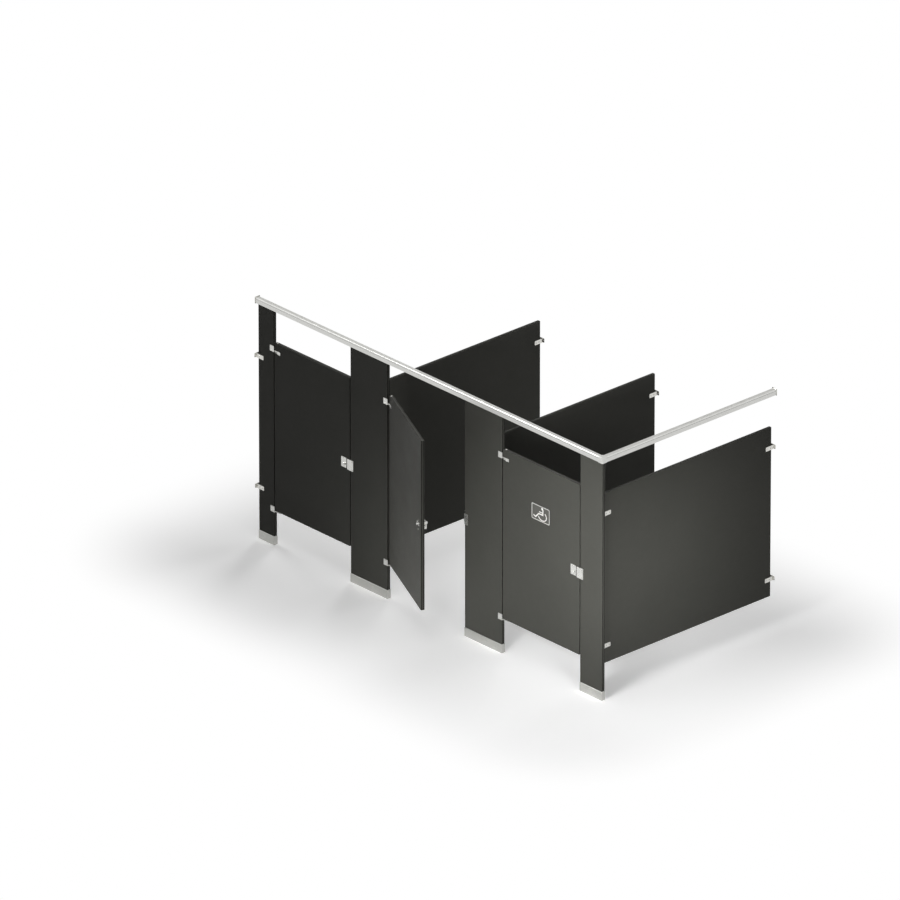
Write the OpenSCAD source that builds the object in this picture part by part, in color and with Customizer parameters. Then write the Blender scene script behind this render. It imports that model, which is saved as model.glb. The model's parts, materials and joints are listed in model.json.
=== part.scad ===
// Toilet stall partition: a front line of four pilasters and three doors,
// three panels that run back from it, and a headrail round the top.
// X runs along the front line from the fixed end to the free corner, Y runs back
// into the stalls, Z is up. The origin is on the floor, at the middle of the first
// pilaster's foot.

/* [Run] */
// Clear width between two pilasters
opening_w = 904; // [700:1:1000]
// Gap between a panel or the first pilaster and the plane that its brackets screw to
wall_gap = 30; // [20:1:40]
// Height of the doors' and panels' lower edge above the floor
floor_gap = 305; // [250:1:350]

/* [Pilasters] */
// Height of the pilasters' top above the floor
pilaster_top = 2083; // [1950:1:2200]
// Thickness of a pilaster
pilaster_t = 32; // [30:0.5:36]
// Width of the pilaster at the fixed end
pilaster_1_w = 178; // [160:1:250]
// Width of the two pilasters between doors
pilaster_mid_w = 428; // [300:1:500]
// Width of the pilaster at the free corner
pilaster_4_w = 250; // [220:1:400]
// Height of a pilaster's lower end above the floor
foot_lift = 25; // [20:1:32]
// Thickness of the bar welded into a pilaster's lower end
foot_bar_t = 8; // [6:0.5:12]

/* [Panels and doors] */
// Height of a panel or door
panel_h = 1473; // [1350:1:1520]
// Thickness of a panel
panel_t = 25; // [22:0.5:28]
// Length of a panel
panel_l = 1784; // [1300:1:2000]
// Gap between a pilaster's back and the panel behind it
panel_gap = 13; // [8:0.5:20]
// How far the end panel's outer face lies inside the last pilaster's edge
end_inset = 18.5; // [18:0.5:40]
// Thickness of a door
door_t = 32; // [30:0.5:36]
// Gap at a door's hinge edge
hinge_gap = 12; // [10:0.5:14]
// Gap at a door's latch edge
latch_gap = 10; // [8:0.5:12]
// Sheet thickness of the pilasters, panels and doors
skin_t = 1; // [0.8:0.1:1.5]
// Radius of their upright edges
edge_r = 3; // [2:0.5:5]
// Angle at which the middle door stands open
ajar = 26; // [0:1:60]

/* [Core] */
// Thickness of the core's webs
core_web = 1; // [0.5:0.1:2]
// Distance from a panel's or door's edge to the first upright web
core_margin = 150; // [140:1:200]
// Upright webs in a panel or door
core_count = 5; // [3:1:8]
// Distance from the lower or upper edge to the first level web
core_end = 40; // [35:1:60]
// Bays between the level webs
core_bays = 4; // [2:1:6]

/* [Shoes and feet] */
// Height of a shoe
shoe_h = 76; // [70:1:110]
// Sheet thickness of a shoe
shoe_t = 1; // [0.8:0.1:1.5]
// Gap between a shoe and the floor channel inside it
shoe_clear = 0.2; // [0.1:0.05:0.5]
// Sheet thickness of a floor channel
channel_t = 2.5; // [2:0.1:4]
// Height of a floor channel
channel_h = 48; // [46:1:60]
// How much shorter a floor channel is than its pilaster, at each end
channel_inset = 10; // [5:1:15]
// Radius of the floor channel's anchor holes
anchor_r = 4.5; // [3:0.5:6]
// Distance from a pilaster's edge to its anchor hole
anchor_inset = 62; // [58:1:70]
// Distance from a pilaster's edge to its levelling bolt
leveller_inset = 32; // [28:1:40]
// Radius of a levelling bolt
leveller_r = 5; // [4:0.5:6]
// Radius of a levelling bolt's head, over its corners
leveller_head_r = 8.5; // [7.5:0.5:10]
// Height of a levelling bolt's head
leveller_head_h = 7; // [5:0.5:9]
// Height that a levelling bolt reaches into the pilaster
leveller_reach = 14; // [5:1:30]
// Distance from a pilaster's edge to a shoe screw
shoe_screw_inset = 30; // [25:1:40]
// Height of the shoe screws
shoe_screw_z = 40; // [38:1:44]

/* [Headrail] */
// Width of the headrail
rail_w = 42; // [40:0.5:50]
// Height of the headrail
rail_h = 48; // [42:0.5:60]
// How far the headrail's sides hang down over the pilasters
rail_skirt = 28; // [20:1:32]
// Wall thickness of the headrail
rail_t = 2; // [1.5:0.1:3]
// Radius of the headrail's upper edges
rail_r = 8; // [5:0.5:12]
// Wall thickness of the corner cover
corner_t = 2; // [1.5:0.1:3]
// Gap between the headrail and what slides over or into it
rail_clear = 0.3; // [0.2:0.05:0.5]
// Thickness of the plates at the headrail's fixed ends
rail_plate_t = 3; // [2:0.5:5]
// How far these plates stand out round the headrail
rail_plate_rim = 5; // [3:0.5:10]
// Length of the tongue that holds the headrail's end
rail_tongue = 16; // [10:1:25]
// Distance between an end plate's two screw holes
rail_hole_pitch = 22; // [16:0.5:26]
// Distance from a pilaster's edge to a headrail screw
rail_screw_inset = 60; // [45:1:80]

/* [Brackets] */
// Sheet thickness of the panel brackets
bracket_t = 3; // [2:0.5:4]
// Height of the panel brackets
bracket_h = 36; // [30:1:50]
// How far a bracket's ears reach over the panel
ear_overlap = 62; // [55:1:80]
// Gap between a bracket's ear and the panel
ear_clear = 0.2; // [0.1:0.05:0.5]
// Width of a bracket's flange outside its ear
flange_w = 14; // [12:0.5:15]
// Height of the lower brackets above the panel's lower edge
bracket_low = 150; // [100:1:250]
// Depth of the upper brackets below the panel's upper edge
bracket_drop = 178; // [120:1:250]
// Distance from the panel's end to the first through bolt
ear_bolt_edge = 15; // [12:1:18]
// Distance between a bracket's two through bolts
ear_bolt_pitch = 32; // [26:1:36]

/* [Hinges] */
// Distance from the pilaster's edge to the hinge axis
axis_inset = 36; // [34:0.5:40]
// Thickness of the hinge brackets' plates
hinge_plate_t = 4; // [3:0.5:5]
// Width of a hinge plate on its pilaster
hinge_plate_w = 38; // [34:1:46]
// Height of a hinge plate
hinge_plate_h = 50; // [44:1:60]
// How far a hinge plate reaches over the gap
hinge_reach = 8; // [7:0.5:9]
// Thickness of the upper hinge arm
arm_t = 10; // [8:0.5:12]
// Half width of a hinge arm, and the radius of its round end
arm_r = 9; // [8:0.5:9]
// Depth of the upper hinge arm's middle below the door's top
arm_drop = 75; // [60:1:100]
// Thickness of the lower hinge arm
low_arm_t = 8; // [6:0.5:10]
// How far the lower hinge arm reaches past its axis
low_arm_reach = 22; // [14:1:30]
// Height of the lower bush's collar, under the door
collar_h = 5; // [4:0.5:8]
// Radius of the lower bush's collar
collar_r = 12; // [11:0.5:13]
// Radius of the lower bush's barrel
barrel_r = 9; // [8:0.5:9.5]
// Thickness of the bush's closed end
bush_end = 2; // [1.5:0.5:4]
// Radius of the post on the lower hinge arm
post_r = 5; // [4:0.5:6]
// Height of the post inside the door
post_h = 28; // [20:1:40]
// Radius of the upper hinge pin
pin_r = 4; // [3:0.5:5]
// How far the pin reaches past its insert
pin_tail = 2; // [1:0.5:6]
// Radius of the upper hinge pin's head
pin_head_r = 7; // [6:0.5:9]
// Height of the upper hinge pin's head
pin_head_h = 2.5; // [2:0.5:4]
// Wall thickness of the insert in the door's notch
insert_t = 2; // [1.5:0.1:2.5]
// Free height above and below the arm in the insert
insert_clear = 3; // [2:0.5:4]
// Free length past the hinge axis in the insert
insert_reach = 12; // [11:0.5:14]
// Length of the insert's face plate
face_plate_w = 33; // [28:1:45]
// Height of the insert's face plate
face_plate_h = 26; // [26:1:34]
// Thickness of the insert's face plate
face_plate_t = 3; // [2:0.5:4]
// Hinge screw's distance from the pilaster's edge
hinge_screw_inset = 22; // [18:1:28]
// Distance of a hinge screw from its plate's middle
hinge_screw_pitch = 15; // [12:0.5:17]

/* [Latch] */
// Height of the latch's middle above the floor
latch_z = 1023; // [900:1:1100]
// Distance of the bolt from the latch's middle
bolt_offset = 12; // [8:0.5:14]
// Distance from the door's edge to the latch case
case_edge = 37; // [34:0.5:45]
// Width of the latch case and its plates
case_w = 60; // [56:0.5:70]
// Height of the latch case
case_h = 60; // [54:1:70]
// Depth of the latch case
case_d = 28; // [24:0.5:32]
// Wall thickness of the latch case
case_t = 2; // [1.5:0.1:3]
// Height of the latch case's foot plate and of the outer plate
plate_h = 88; // [84:1:100]
// Height of the outer plate on the door that opens outwards
small_plate_h = 28; // [26:1:40]
// Thickness of these plates
plate_t = 3; // [2:0.5:4]
// Travel of the bolt
bolt_travel = 20; // [16:0.5:22]
// Width of the bolt
bolt_h = 14; // [10:0.5:15]
// Thickness of the bolt
bolt_t = 10; // [8:0.5:11]
// Distance from the door's face to the bolt
bolt_lift = 6; // [5:0.5:8]
// Distance from the drawn-back bolt's tip to the door's edge
bolt_tip = 0.5; // [0.5:0.5:3]
// Length of the bolt
bolt_l = 80; // [74:1:88]
// Gap round the bolt in its guide
bolt_clear = 0.3; // [0.2:0.05:0.5]
// Wall thickness of the bolt's guide
guide_t = 2; // [1.5:0.1:3]
// Distance from the door's edge to the drawn-back knob
knob_edge = 63; // [61:0.5:66]
// Radius of the knobs' stem
stem_r = 3.5; // [3:0.5:4]
// Radius of a knob
knob_r = 11; // [9:0.5:11]
// Length of a knob
knob_l = 12; // [8:0.5:16]
// Gap between a knob and the plate that it slides over
knob_clear = 0.5; // [0.3:0.1:1]
// Distance of the latch's fixing bolts from its middle
latch_bolt_pitch = 37; // [36:0.5:38]

/* [Keepers] */
// Height of the keepers' middle above the floor
keeper_z = 1020; // [900:1:1100]
// Height of a keeper
keeper_h = 92; // [88:1:110]
// Width of a keeper on its pilaster
keeper_w = 35; // [32:1:45]
// How far a keeper reaches over the door for an inward door
keeper_reach = 35; // [28:1:36]
// How far a keeper reaches over the door for an outward door
keeper_reach_out = 44; // [30:1:45]
// Thickness of a keeper's stop over the door
stop_t = 3; // [2:0.5:4]
// Thickness of the rubber bumper
bumper_t = 2.7; // [2:0.1:4]
// How far a bumper stops short of the edges that it lies between
bumper_rim = 1.5; // [1:0.5:3]
// Gap between the bumper and the closed door
seat_gap = 0.3; // [0.2:0.1:1]
// Thickness of the keeper's web in the gap
keeper_web = 2.7; // [2:0.1:4]
// Thickness of the keeper's leg inside
keeper_leg_t = 3; // [2:0.5:4]
// Length of the loop that takes the bolt
loop_l = 14; // [12:0.5:20]
// Wall thickness of that loop
loop_t = 3; // [2.5:0.5:5]
// Gap round the bolt in a keeper
keeper_clear = 2; // [1.5:0.1:2.5]
// Distance from a keeper's through bolts to the pilaster's edge
keeper_bolt_inset = 24; // [22:0.5:26]
// Distance of a keeper's through bolts from its middle
keeper_bolt_pitch = 33; // [30:0.5:36]

/* [Fasteners] */
// Radius of a screw's shank
screw_r = 2.1; // [1.5:0.1:2.5]
// Radius of a screw's head
screw_head_r = 4.2; // [3.5:0.1:5]
// Radius of the flat on a screw's head
screw_top_r = 2.6; // [2:0.1:3]
// Height of a screw's head
screw_head_h = 2; // [1.5:0.1:3]
// How deep a screw reaches into the sheet
screw_bite = 6; // [4:0.5:10]
// Radius of a through bolt's barrel
sleeve_r = 3.5; // [3:0.1:4]
// Radius of a through bolt's shank, inside the barrel
shank_r = 2; // [1.5:0.1:2.5]
// Radius of a through bolt's heads
bolt_head_r = 6; // [5:0.1:6.5]
// Radius of the flat on a through bolt's head
bolt_top_r = 4.5; // [4:0.1:4.9]
// Height of a through bolt's heads
bolt_head_h = 2; // [1.5:0.1:3]
// Radial gap between a fastener and its hole
hole_clear = 0.1; // [0.05:0.05:0.3]
// Radial gap between a hinge's pin or post and its bore
run_clear = 0.05; // [0.02:0.01:0.1]
// Radius of the screw holes through which the part is fixed to its surroundings
wall_hole_r = 2.75; // [2.5:0.05:3.5]

/* [Sign] */
// Width of the sign on the third door
sign_w = 212; // [150:1:300]
// Height of the sign
sign_h = 140; // [100:1:200]
// Thickness of the sign
sign_t = 3; // [2:0.5:6]
// Radius of the sign's corners
sign_r = 10; // [4:0.5:20]
// Distance from the hinge axis to the sign's middle
sign_u = 414; // [300:1:600]
// Height of the sign's middle above the floor
sign_z = 1373; // [1200:1:1500]

/* [Hidden] */
$fn = 32;

charcoal = [0.27, 0.27, 0.25];
steel = [0.75, 0.75, 0.72];
rail_colour = [0.85, 0.85, 0.83];
card = [0.72, 0.6, 0.42];
nylon = [0.2, 0.2, 0.2];
rubber = [0.08, 0.08, 0.08];

// Cutting tools run this far past the faces that they open
cut = 1;
// Free length between a through bolt's barrel or screw and the head at its far end
bolt_play = 1;
// Doors and pilasters are counted from 0; a swing of 1 opens inwards, -1 outwards
swings = [1, -1, 1];
rest_angles = [0, -ajar, 0];

widths = [pilaster_1_w, pilaster_mid_w, pilaster_mid_w, pilaster_4_w];
function left_edge(i) = i == 0 ? -pilaster_1_w / 2 : right_edge(i - 1) + opening_w;
function right_edge(i) = left_edge(i) + widths[i];
function middle(i) = (left_edge(i) + right_edge(i)) / 2;

front_face = -pilaster_t / 2;
back_face = pilaster_t / 2;
door_w = opening_w - hinge_gap - latch_gap;
door_left = hinge_gap - axis_inset;
door_right = door_left + door_w;
door_top = floor_gap + panel_h;
pilaster_h = pilaster_top - foot_lift;
panel_front = back_face + panel_gap;
panel_back = panel_front + panel_l;
back_wall = panel_back + wall_gap;
left_wall = left_edge(0) - wall_gap;
panel_x = [middle(1), middle(2), right_edge(3) - end_inset - panel_t / 2];
bracket_z = [floor_gap + bracket_low, door_top - bracket_drop];

// Distances across a bracket, from the middle of what its ears hold
function ear_in(t) = t / 2 + ear_clear;
function ear_out(t) = ear_in(t) + bracket_t;
function flange_mid(t) = ear_out(t) + flange_w / 2;

channel_in = pilaster_t / 2 + ear_clear;
channel_out = channel_in + channel_t;
shoe_in = channel_out + shoe_clear;
shoe_out = shoe_in + shoe_t;

rail_bottom = pilaster_top - rail_skirt;
rail_top = rail_bottom + rail_h;
side_rail_x = right_edge(3) + (rail_w - pilaster_t) / 2 - rail_w / 2;
rail_start = left_wall + rail_plate_t;
rail_end = side_rail_x + rail_w / 2;
side_start = rail_w / 2;
side_end = back_wall - rail_plate_t;
tongue_h = rail_h - rail_skirt - 2 * rail_t - 2 * rail_clear;
tongue_w = rail_w - 2 * rail_t - 2 * rail_clear;
rail_screw_z = pilaster_top - rail_skirt / 2;
rail_gap = (rail_w - pilaster_t) / 2 - rail_t;

arm_z = door_top - arm_drop;
low_arm_z = floor_gap - collar_h - seat_gap - low_arm_t;
notch_h = arm_t + 2 * insert_clear + 2 * insert_t;
notch_u = insert_reach + insert_t;
top_plate_z = arm_z - arm_t / 2;

case_right = door_right - case_edge;
case_mid = case_right - case_w / 2;
knob_u = door_right - knob_edge;
bolt_end = door_right - bolt_tip;
door_back = door_t / 2;
bolt_y = door_back + bolt_lift + bolt_t / 2;
function bolt_z(i) = latch_z - swings[i] * bolt_offset;
slot_r = stem_r + hole_clear;

// Places of the upright webs in each pilaster, from its left edge
pilaster_webs = [[80, 125], [80, 150, 278, 348], [80, 150, 278, 348], [70, 125, 165]];

// Box with round upright edges, its middle at the origin in X and Y
module rounded_box(w, t, h, r) {
  translate([-w / 2 + r, -t / 2, 0]) cube([w - 2 * r, t, h]);
  translate([-w / 2, -t / 2 + r, 0]) cube([w, t - 2 * r, h]);
  for (x = [-1, 1], y = [-1, 1])
    translate([x * (w / 2 - r), y * (t / 2 - r), 0]) cylinder(r = r, h = h);
}

// Sheet skin round a hollow; the wall at the lower end can be thicker
module skin(w, t, h, low = skin_t) {
  difference() {
    rounded_box(w, t, h, edge_r);
    translate([0, 0, low])
      rounded_box(w - 2 * skin_t, t - 2 * skin_t, h - low - skin_t, edge_r - skin_t);
  }
}

// Upright webs at the given places from the left edge, tied by level webs
module core_grid(places, t, low, high, shift = 0) {
  first = places[0];
  last = places[len(places) - 1];
  for (x = places)
    translate([x + shift - core_web / 2, -t / 2 + skin_t, low])
      cube([core_web, t - 2 * skin_t, high - low]);
  for (k = [0 : core_bays])
    translate([first + shift, -t / 2 + skin_t,
        low + core_end + k * (high - low - 2 * core_end) / core_bays - core_web / 2])
      cube([last - first, t - 2 * skin_t, core_web]);
}

// Upright webs spread evenly between the margins of a panel or door
function even_webs(length) = [for (k = [0 : core_count - 1])
  core_margin + k * (length - 2 * core_margin) / (core_count - 1)];

// Hole or shank along Y from y0 to y1
module rod_y(x, z, r, y0, y1) {
  translate([x, y0, z]) rotate([-90, 0, 0]) cylinder(r = r, h = y1 - y0);
}

// Hole or shank along X from x0 to x1
module rod_x(y, z, r, x0, x1) {
  translate([x0, y, z]) rotate([0, 90, 0]) cylinder(r = r, h = x1 - x0);
}

// Screw whose head sits on z = 0 and whose shank runs down
module screw(length) {
  cylinder(r1 = screw_head_r, r2 = screw_top_r, h = screw_head_h);
  translate([0, 0, -length]) cylinder(r = screw_r, h = length);
}

// Screw driven along +Y or, when back is true, along -Y
module screw_y(x, y, z, length, back = false) {
  translate([x, y, z]) rotate([back ? -90 : 90, 0, 0]) screw(length);
}

// Two-piece through bolt along X or Y: a headed barrel and the screw inside it
module through_bolt(grip) {
  difference() {
    union() {
      cylinder(r1 = bolt_top_r, r2 = bolt_head_r, h = bolt_head_h);
      translate([0, 0, bolt_head_h]) cylinder(r = sleeve_r, h = grip - bolt_play);
    }
    translate([0, 0, bolt_head_h]) cylinder(r = shank_r + hole_clear, h = grip);
  }
  translate([0, 0, bolt_head_h + grip]) {
    cylinder(r1 = bolt_head_r, r2 = bolt_top_r, h = bolt_head_h);
    translate([0, 0, -grip + bolt_play]) cylinder(r = shank_r, h = grip - bolt_play);
  }
}

module through_bolt_y(x, z, y0, y1) {
  translate([x, y0 - bolt_head_h, z]) rotate([-90, 0, 0]) through_bolt(y1 - y0);
}

module through_bolt_x(y, z, x0, x1) {
  translate([x0 - bolt_head_h, y, z]) rotate([0, 90, 0]) through_bolt(x1 - x0);
}

// Two-eared bracket: plate on z = 0, ears along +Z over something of thickness t
module bracket(t, ear_l, hole_r) {
  difference() {
    union() {
      translate([-ear_out(t) - flange_w, -bracket_h / 2, 0])
        cube([2 * (ear_out(t) + flange_w), bracket_h, bracket_t]);
      for (side = [-1, 1])
        translate([side * (ear_in(t) + bracket_t / 2) - bracket_t / 2, -bracket_h / 2, 0])
          cube([bracket_t, bracket_h, ear_l]);
    }
    for (side = [-1, 1])
      translate([side * flange_mid(t), 0, -cut]) cylinder(r = hole_r, h = bracket_t + 2 * cut);
    for (k = [0, 1])
      translate([-ear_out(t) - cut, 0, ear_l - ear_overlap + ear_bolt_edge + k * ear_bolt_pitch])
        rotate([0, 90, 0]) cylinder(r = sleeve_r + hole_clear, h = 2 * (ear_out(t) + cut));
  }
}

// Distances of a bracket's through bolts from the panel's end
ear_bolts = [ear_bolt_edge, ear_bolt_edge + ear_bolt_pitch];

// Heights of the two screws in a hinge plate, from the plate's lower edge
hinge_screw_rows = [hinge_plate_h / 2 - hinge_screw_pitch, hinge_plate_h / 2 + hinge_screw_pitch];

module pilaster(i) {
  color(charcoal) difference() {
    translate([middle(i), 0, foot_lift]) skin(widths[i], pilaster_t, pilaster_h, foot_bar_t);
    for (x = [left_edge(i) + leveller_inset, right_edge(i) - leveller_inset])
      translate([x, 0, foot_lift - cut])
        cylinder(r = leveller_r + hole_clear, h = foot_bar_t + 2 * cut);
    for (x = shoe_screws(i))
      rod_y(x, shoe_screw_z, screw_r + hole_clear, back_face - screw_bite, back_face + cut);
    for (x = rail_screws(i))
      rod_y(x, rail_screw_z, screw_r + hole_clear, back_face - screw_bite, back_face + cut);
    if (i < 3)
      for (z = hinge_screw_z())
        rod_y(right_edge(i) - hinge_screw_inset, z, screw_r + hole_clear,
          front_face - cut, front_face + screw_bite);
    if (i > 0) {
      for (side = [-1, 1])
        rod_y(left_edge(i) + keeper_bolt_inset, keeper_z + side * keeper_bolt_pitch,
          sleeve_r + hole_clear, front_face - cut, back_face + cut);
      for (z = bracket_z, side = [-1, 1])
        rod_y(panel_x[i - 1] + side * flange_mid(panel_t), z, screw_r + hole_clear,
          back_face - screw_bite, back_face + cut);
    }
    if (i == 0)
      for (z = bracket_z, d = ear_bolts)
        rod_y(left_edge(0) + d, z, sleeve_r + hole_clear, front_face - cut, back_face + cut);
  }
}

function hinge_screw_z() = concat([for (r = hinge_screw_rows) top_plate_z + r],
  [for (r = hinge_screw_rows) low_arm_z + r]);
function rail_screws(i) = [for (x = [left_edge(i) + rail_screw_inset,
  right_edge(i) - rail_screw_inset]) x];
function shoe_screws(i) = [left_edge(i) + shoe_screw_inset, right_edge(i) - shoe_screw_inset];

module pilaster_cores() {
  color(card) for (i = [0 : 3])
    core_grid(pilaster_webs[i], pilaster_t, foot_lift + foot_bar_t, pilaster_top - skin_t,
      left_edge(i));
}

module shoe(i) {
  w = widths[i] + 2 * (shoe_out - pilaster_t / 2);
  color(steel) translate([middle(i), 0, 0]) difference() {
    rounded_box(w, 2 * shoe_out, shoe_h, edge_r + shoe_t);
    translate([0, 0, -cut])
      rounded_box(w - 2 * shoe_t, 2 * shoe_in, shoe_h - shoe_t + cut, edge_r);
    translate([0, 0, shoe_h - shoe_t - cut])
      rounded_box(widths[i] + 2 * ear_clear, pilaster_t + 2 * ear_clear, shoe_t + 2 * cut, edge_r);
    for (x = shoe_screws(i))
      rod_y(x - middle(i), shoe_screw_z, screw_r + hole_clear, shoe_in - cut, shoe_out + cut);
  }
}

module floor_channels() {
  color(steel) for (i = [0 : 3]) {
    length = widths[i] - 2 * channel_inset;
    translate([middle(i), 0, 0]) difference() {
      translate([-length / 2, -channel_out, 0]) cube([length, 2 * channel_out, channel_h]);
      translate([-length / 2 - cut, -channel_in, channel_t])
        cube([length + 2 * cut, 2 * channel_in, channel_h]);
      for (side = [-1, 1])
        translate([side * (widths[i] / 2 - anchor_inset), 0, -cut])
          cylinder(r = anchor_r, h = channel_t + 2 * cut);
      for (x = shoe_screws(i))
        rod_y(x - middle(i), shoe_screw_z, screw_r + hole_clear, channel_in - cut,
          channel_out + cut);
    }
  }
}

module levelling_bolts() {
  color(steel) for (i = [0 : 3])
    for (x = [left_edge(i) + leveller_inset, right_edge(i) - leveller_inset])
      translate([x, 0, channel_t]) {
        cylinder(r = leveller_head_r, h = leveller_head_h, $fn = 6);
        cylinder(r = leveller_r, h = foot_lift - channel_t + foot_bar_t + leveller_reach);
      }
}

// Headrail section: a closed box over the pilasters' top, with an open skirt
module rail_section() {
  upper = rail_h - rail_skirt - rail_t;
  difference() {
    rail_outline(rail_w, rail_h, rail_r);
    translate([0, rail_skirt + rail_t]) rail_outline(rail_w - 2 * rail_t, upper - rail_t,
      rail_r - rail_t);
    translate([-rail_w / 2 + rail_t, -cut]) square([rail_w - 2 * rail_t, rail_skirt + cut]);
  }
}

// Upright outline with round upper corners, its lower edge on the X axis
module rail_outline(w, h, r) {
  translate([-w / 2, 0]) square([w, h - r]);
  translate([-w / 2 + r, 0]) square([w - 2 * r, h]);
  for (side = [-1, 1]) translate([side * (w / 2 - r), h - r]) circle(r = r);
}

module headrail_front() {
  color(rail_colour) difference() {
    translate([rail_start, 0, rail_bottom]) rotate([90, 0, 90])
      linear_extrude(height = rail_end - rail_start) rail_section();
    for (i = [0 : 3], x = rail_screws(i))
      rod_y(x, rail_screw_z, screw_r + hole_clear, rail_w / 2 - rail_t - cut, rail_w / 2 + cut);
  }
}

module headrail_side() {
  color(rail_colour) translate([side_rail_x, side_start, rail_bottom]) rotate([90, 0, 180])
    linear_extrude(height = side_end - side_start) rail_section();
}

// Cover over the corner where the side rail meets the front rail
module headrail_corner() {
  reach = rail_w / 2 + rail_clear;
  outer = reach + corner_t;
  color(rail_colour) translate([side_rail_x, 0, rail_bottom - corner_t]) difference() {
    union() {
      translate([-outer, -outer + rail_r, 0])
        cube([2 * outer, 2 * outer - rail_r, rail_h + rail_clear + 2 * corner_t]);
      translate([-outer, -outer, 0])
        cube([2 * outer - rail_r, rail_r, rail_h + rail_clear + 2 * corner_t]);
      translate([outer - rail_r, -outer + rail_r, 0])
        cylinder(r = rail_r, h = rail_h + rail_clear + 2 * corner_t);
    }
    translate([-outer - cut, -reach, -cut])
      cube([outer + cut + reach, outer + cut + reach, rail_h + rail_clear + corner_t + cut]);
  }
}

module rail_plate() {
  difference() {
    union() {
      translate([-rail_w / 2 - rail_plate_rim, -rail_plate_rim, 0])
        cube([rail_w + 2 * rail_plate_rim, rail_h + 2 * rail_plate_rim, rail_plate_t]);
      translate([-tongue_w / 2 + rail_r - rail_t, rail_skirt + rail_t + rail_clear, 0])
        cube([tongue_w - 2 * (rail_r - rail_t), tongue_h, rail_plate_t + rail_tongue]);
    }
    for (side = [-1, 1])
      translate([side * rail_hole_pitch / 2, rail_skirt / 2, -cut])
        cylinder(r = wall_hole_r, h = rail_plate_t + 2 * cut);
  }
}

module headrail_wall_plates() {
  color(steel) {
    translate([left_wall, 0, rail_bottom]) rotate([90, 0, 90]) rail_plate();
    translate([side_rail_x, back_wall, rail_bottom]) rotate([90, 0, 0]) rail_plate();
  }
}

module panel(k) {
  color(charcoal) difference() {
    translate([panel_x[k], (panel_front + panel_back) / 2, floor_gap])
      rotate([0, 0, 90]) skin(panel_l, panel_t, panel_h);
    for (z = bracket_z, d = ear_bolts, y = [panel_front + d, panel_back - d])
      rod_x(y, z, sleeve_r + hole_clear, panel_x[k] - panel_t, panel_x[k] + panel_t);
  }
}

module panel_cores() {
  color(card) for (k = [0 : 2])
    translate([panel_x[k], panel_front, 0]) rotate([0, 0, 90])
      core_grid(even_webs(panel_l), panel_t, floor_gap + skin_t, door_top - skin_t);
}

module pilaster_brackets() {
  color(steel) for (k = [0 : 2], z = bracket_z)
    translate([panel_x[k], back_face, z]) rotate([-90, 0, 0])
      bracket(panel_t, panel_gap + ear_overlap, screw_r + hole_clear);
}

module wall_brackets() {
  color(steel) {
    for (k = [0 : 2], z = bracket_z)
      translate([panel_x[k], back_wall, z]) rotate([90, 0, 0])
        bracket(panel_t, wall_gap + ear_overlap, wall_hole_r);
    for (z = bracket_z)
      translate([left_wall, 0, z]) rotate([0, 0, 90]) rotate([90, 0, 180]) rotate([0, 180, 0])
        bracket(pilaster_t, wall_gap + ear_overlap, wall_hole_r);
  }
}

module through_bolts() {
  color(steel) {
    for (k = [0 : 2], z = bracket_z, d = ear_bolts, y = [panel_front + d, panel_back - d])
      through_bolt_x(y, z, panel_x[k] - ear_out(panel_t), panel_x[k] + ear_out(panel_t));
    for (z = bracket_z, d = ear_bolts)
      through_bolt_y(left_edge(0) + d, z, -ear_out(pilaster_t), ear_out(pilaster_t));
    for (i = [0 : 2], side = [-1, 1])
      through_bolt_y(left_edge(i + 1) + keeper_bolt_inset, keeper_z + side * keeper_bolt_pitch,
        keeper_front(i), back_face + keeper_leg_t);
  }
}

module frame_screws() {
  color(steel) {
    for (k = [0 : 2], z = bracket_z, side = [-1, 1])
      screw_y(panel_x[k] + side * flange_mid(panel_t), back_face + bracket_t, z,
        bracket_t + screw_bite, true);
    for (i = [0 : 2], z = hinge_screw_z())
      screw_y(right_edge(i) - hinge_screw_inset, front_face - hinge_plate_t, z,
        hinge_plate_t + screw_bite);
    for (i = [0 : 3], x = rail_screws(i))
      screw_y(x, rail_w / 2, rail_screw_z, rail_t + rail_gap + screw_bite, true);
    for (i = [0 : 3], x = shoe_screws(i))
      screw_y(x, shoe_out, shoe_screw_z, shoe_out - back_face + screw_bite, true);
  }
}

// Plate on the pilaster and an arm through the gap, in the frame of the pilaster's edge
module hinge_plate(arm_h) {
  translate([-hinge_plate_w, front_face - hinge_plate_t, 0])
    cube([hinge_plate_w + hinge_reach, hinge_plate_t, hinge_plate_h]);
  translate([hinge_gap - hinge_reach - hole_clear, front_face - hinge_plate_t, 0])
    cube([2 * hinge_reach - hinge_gap, arm_r - front_face + hinge_plate_t, arm_h]);
}

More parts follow.
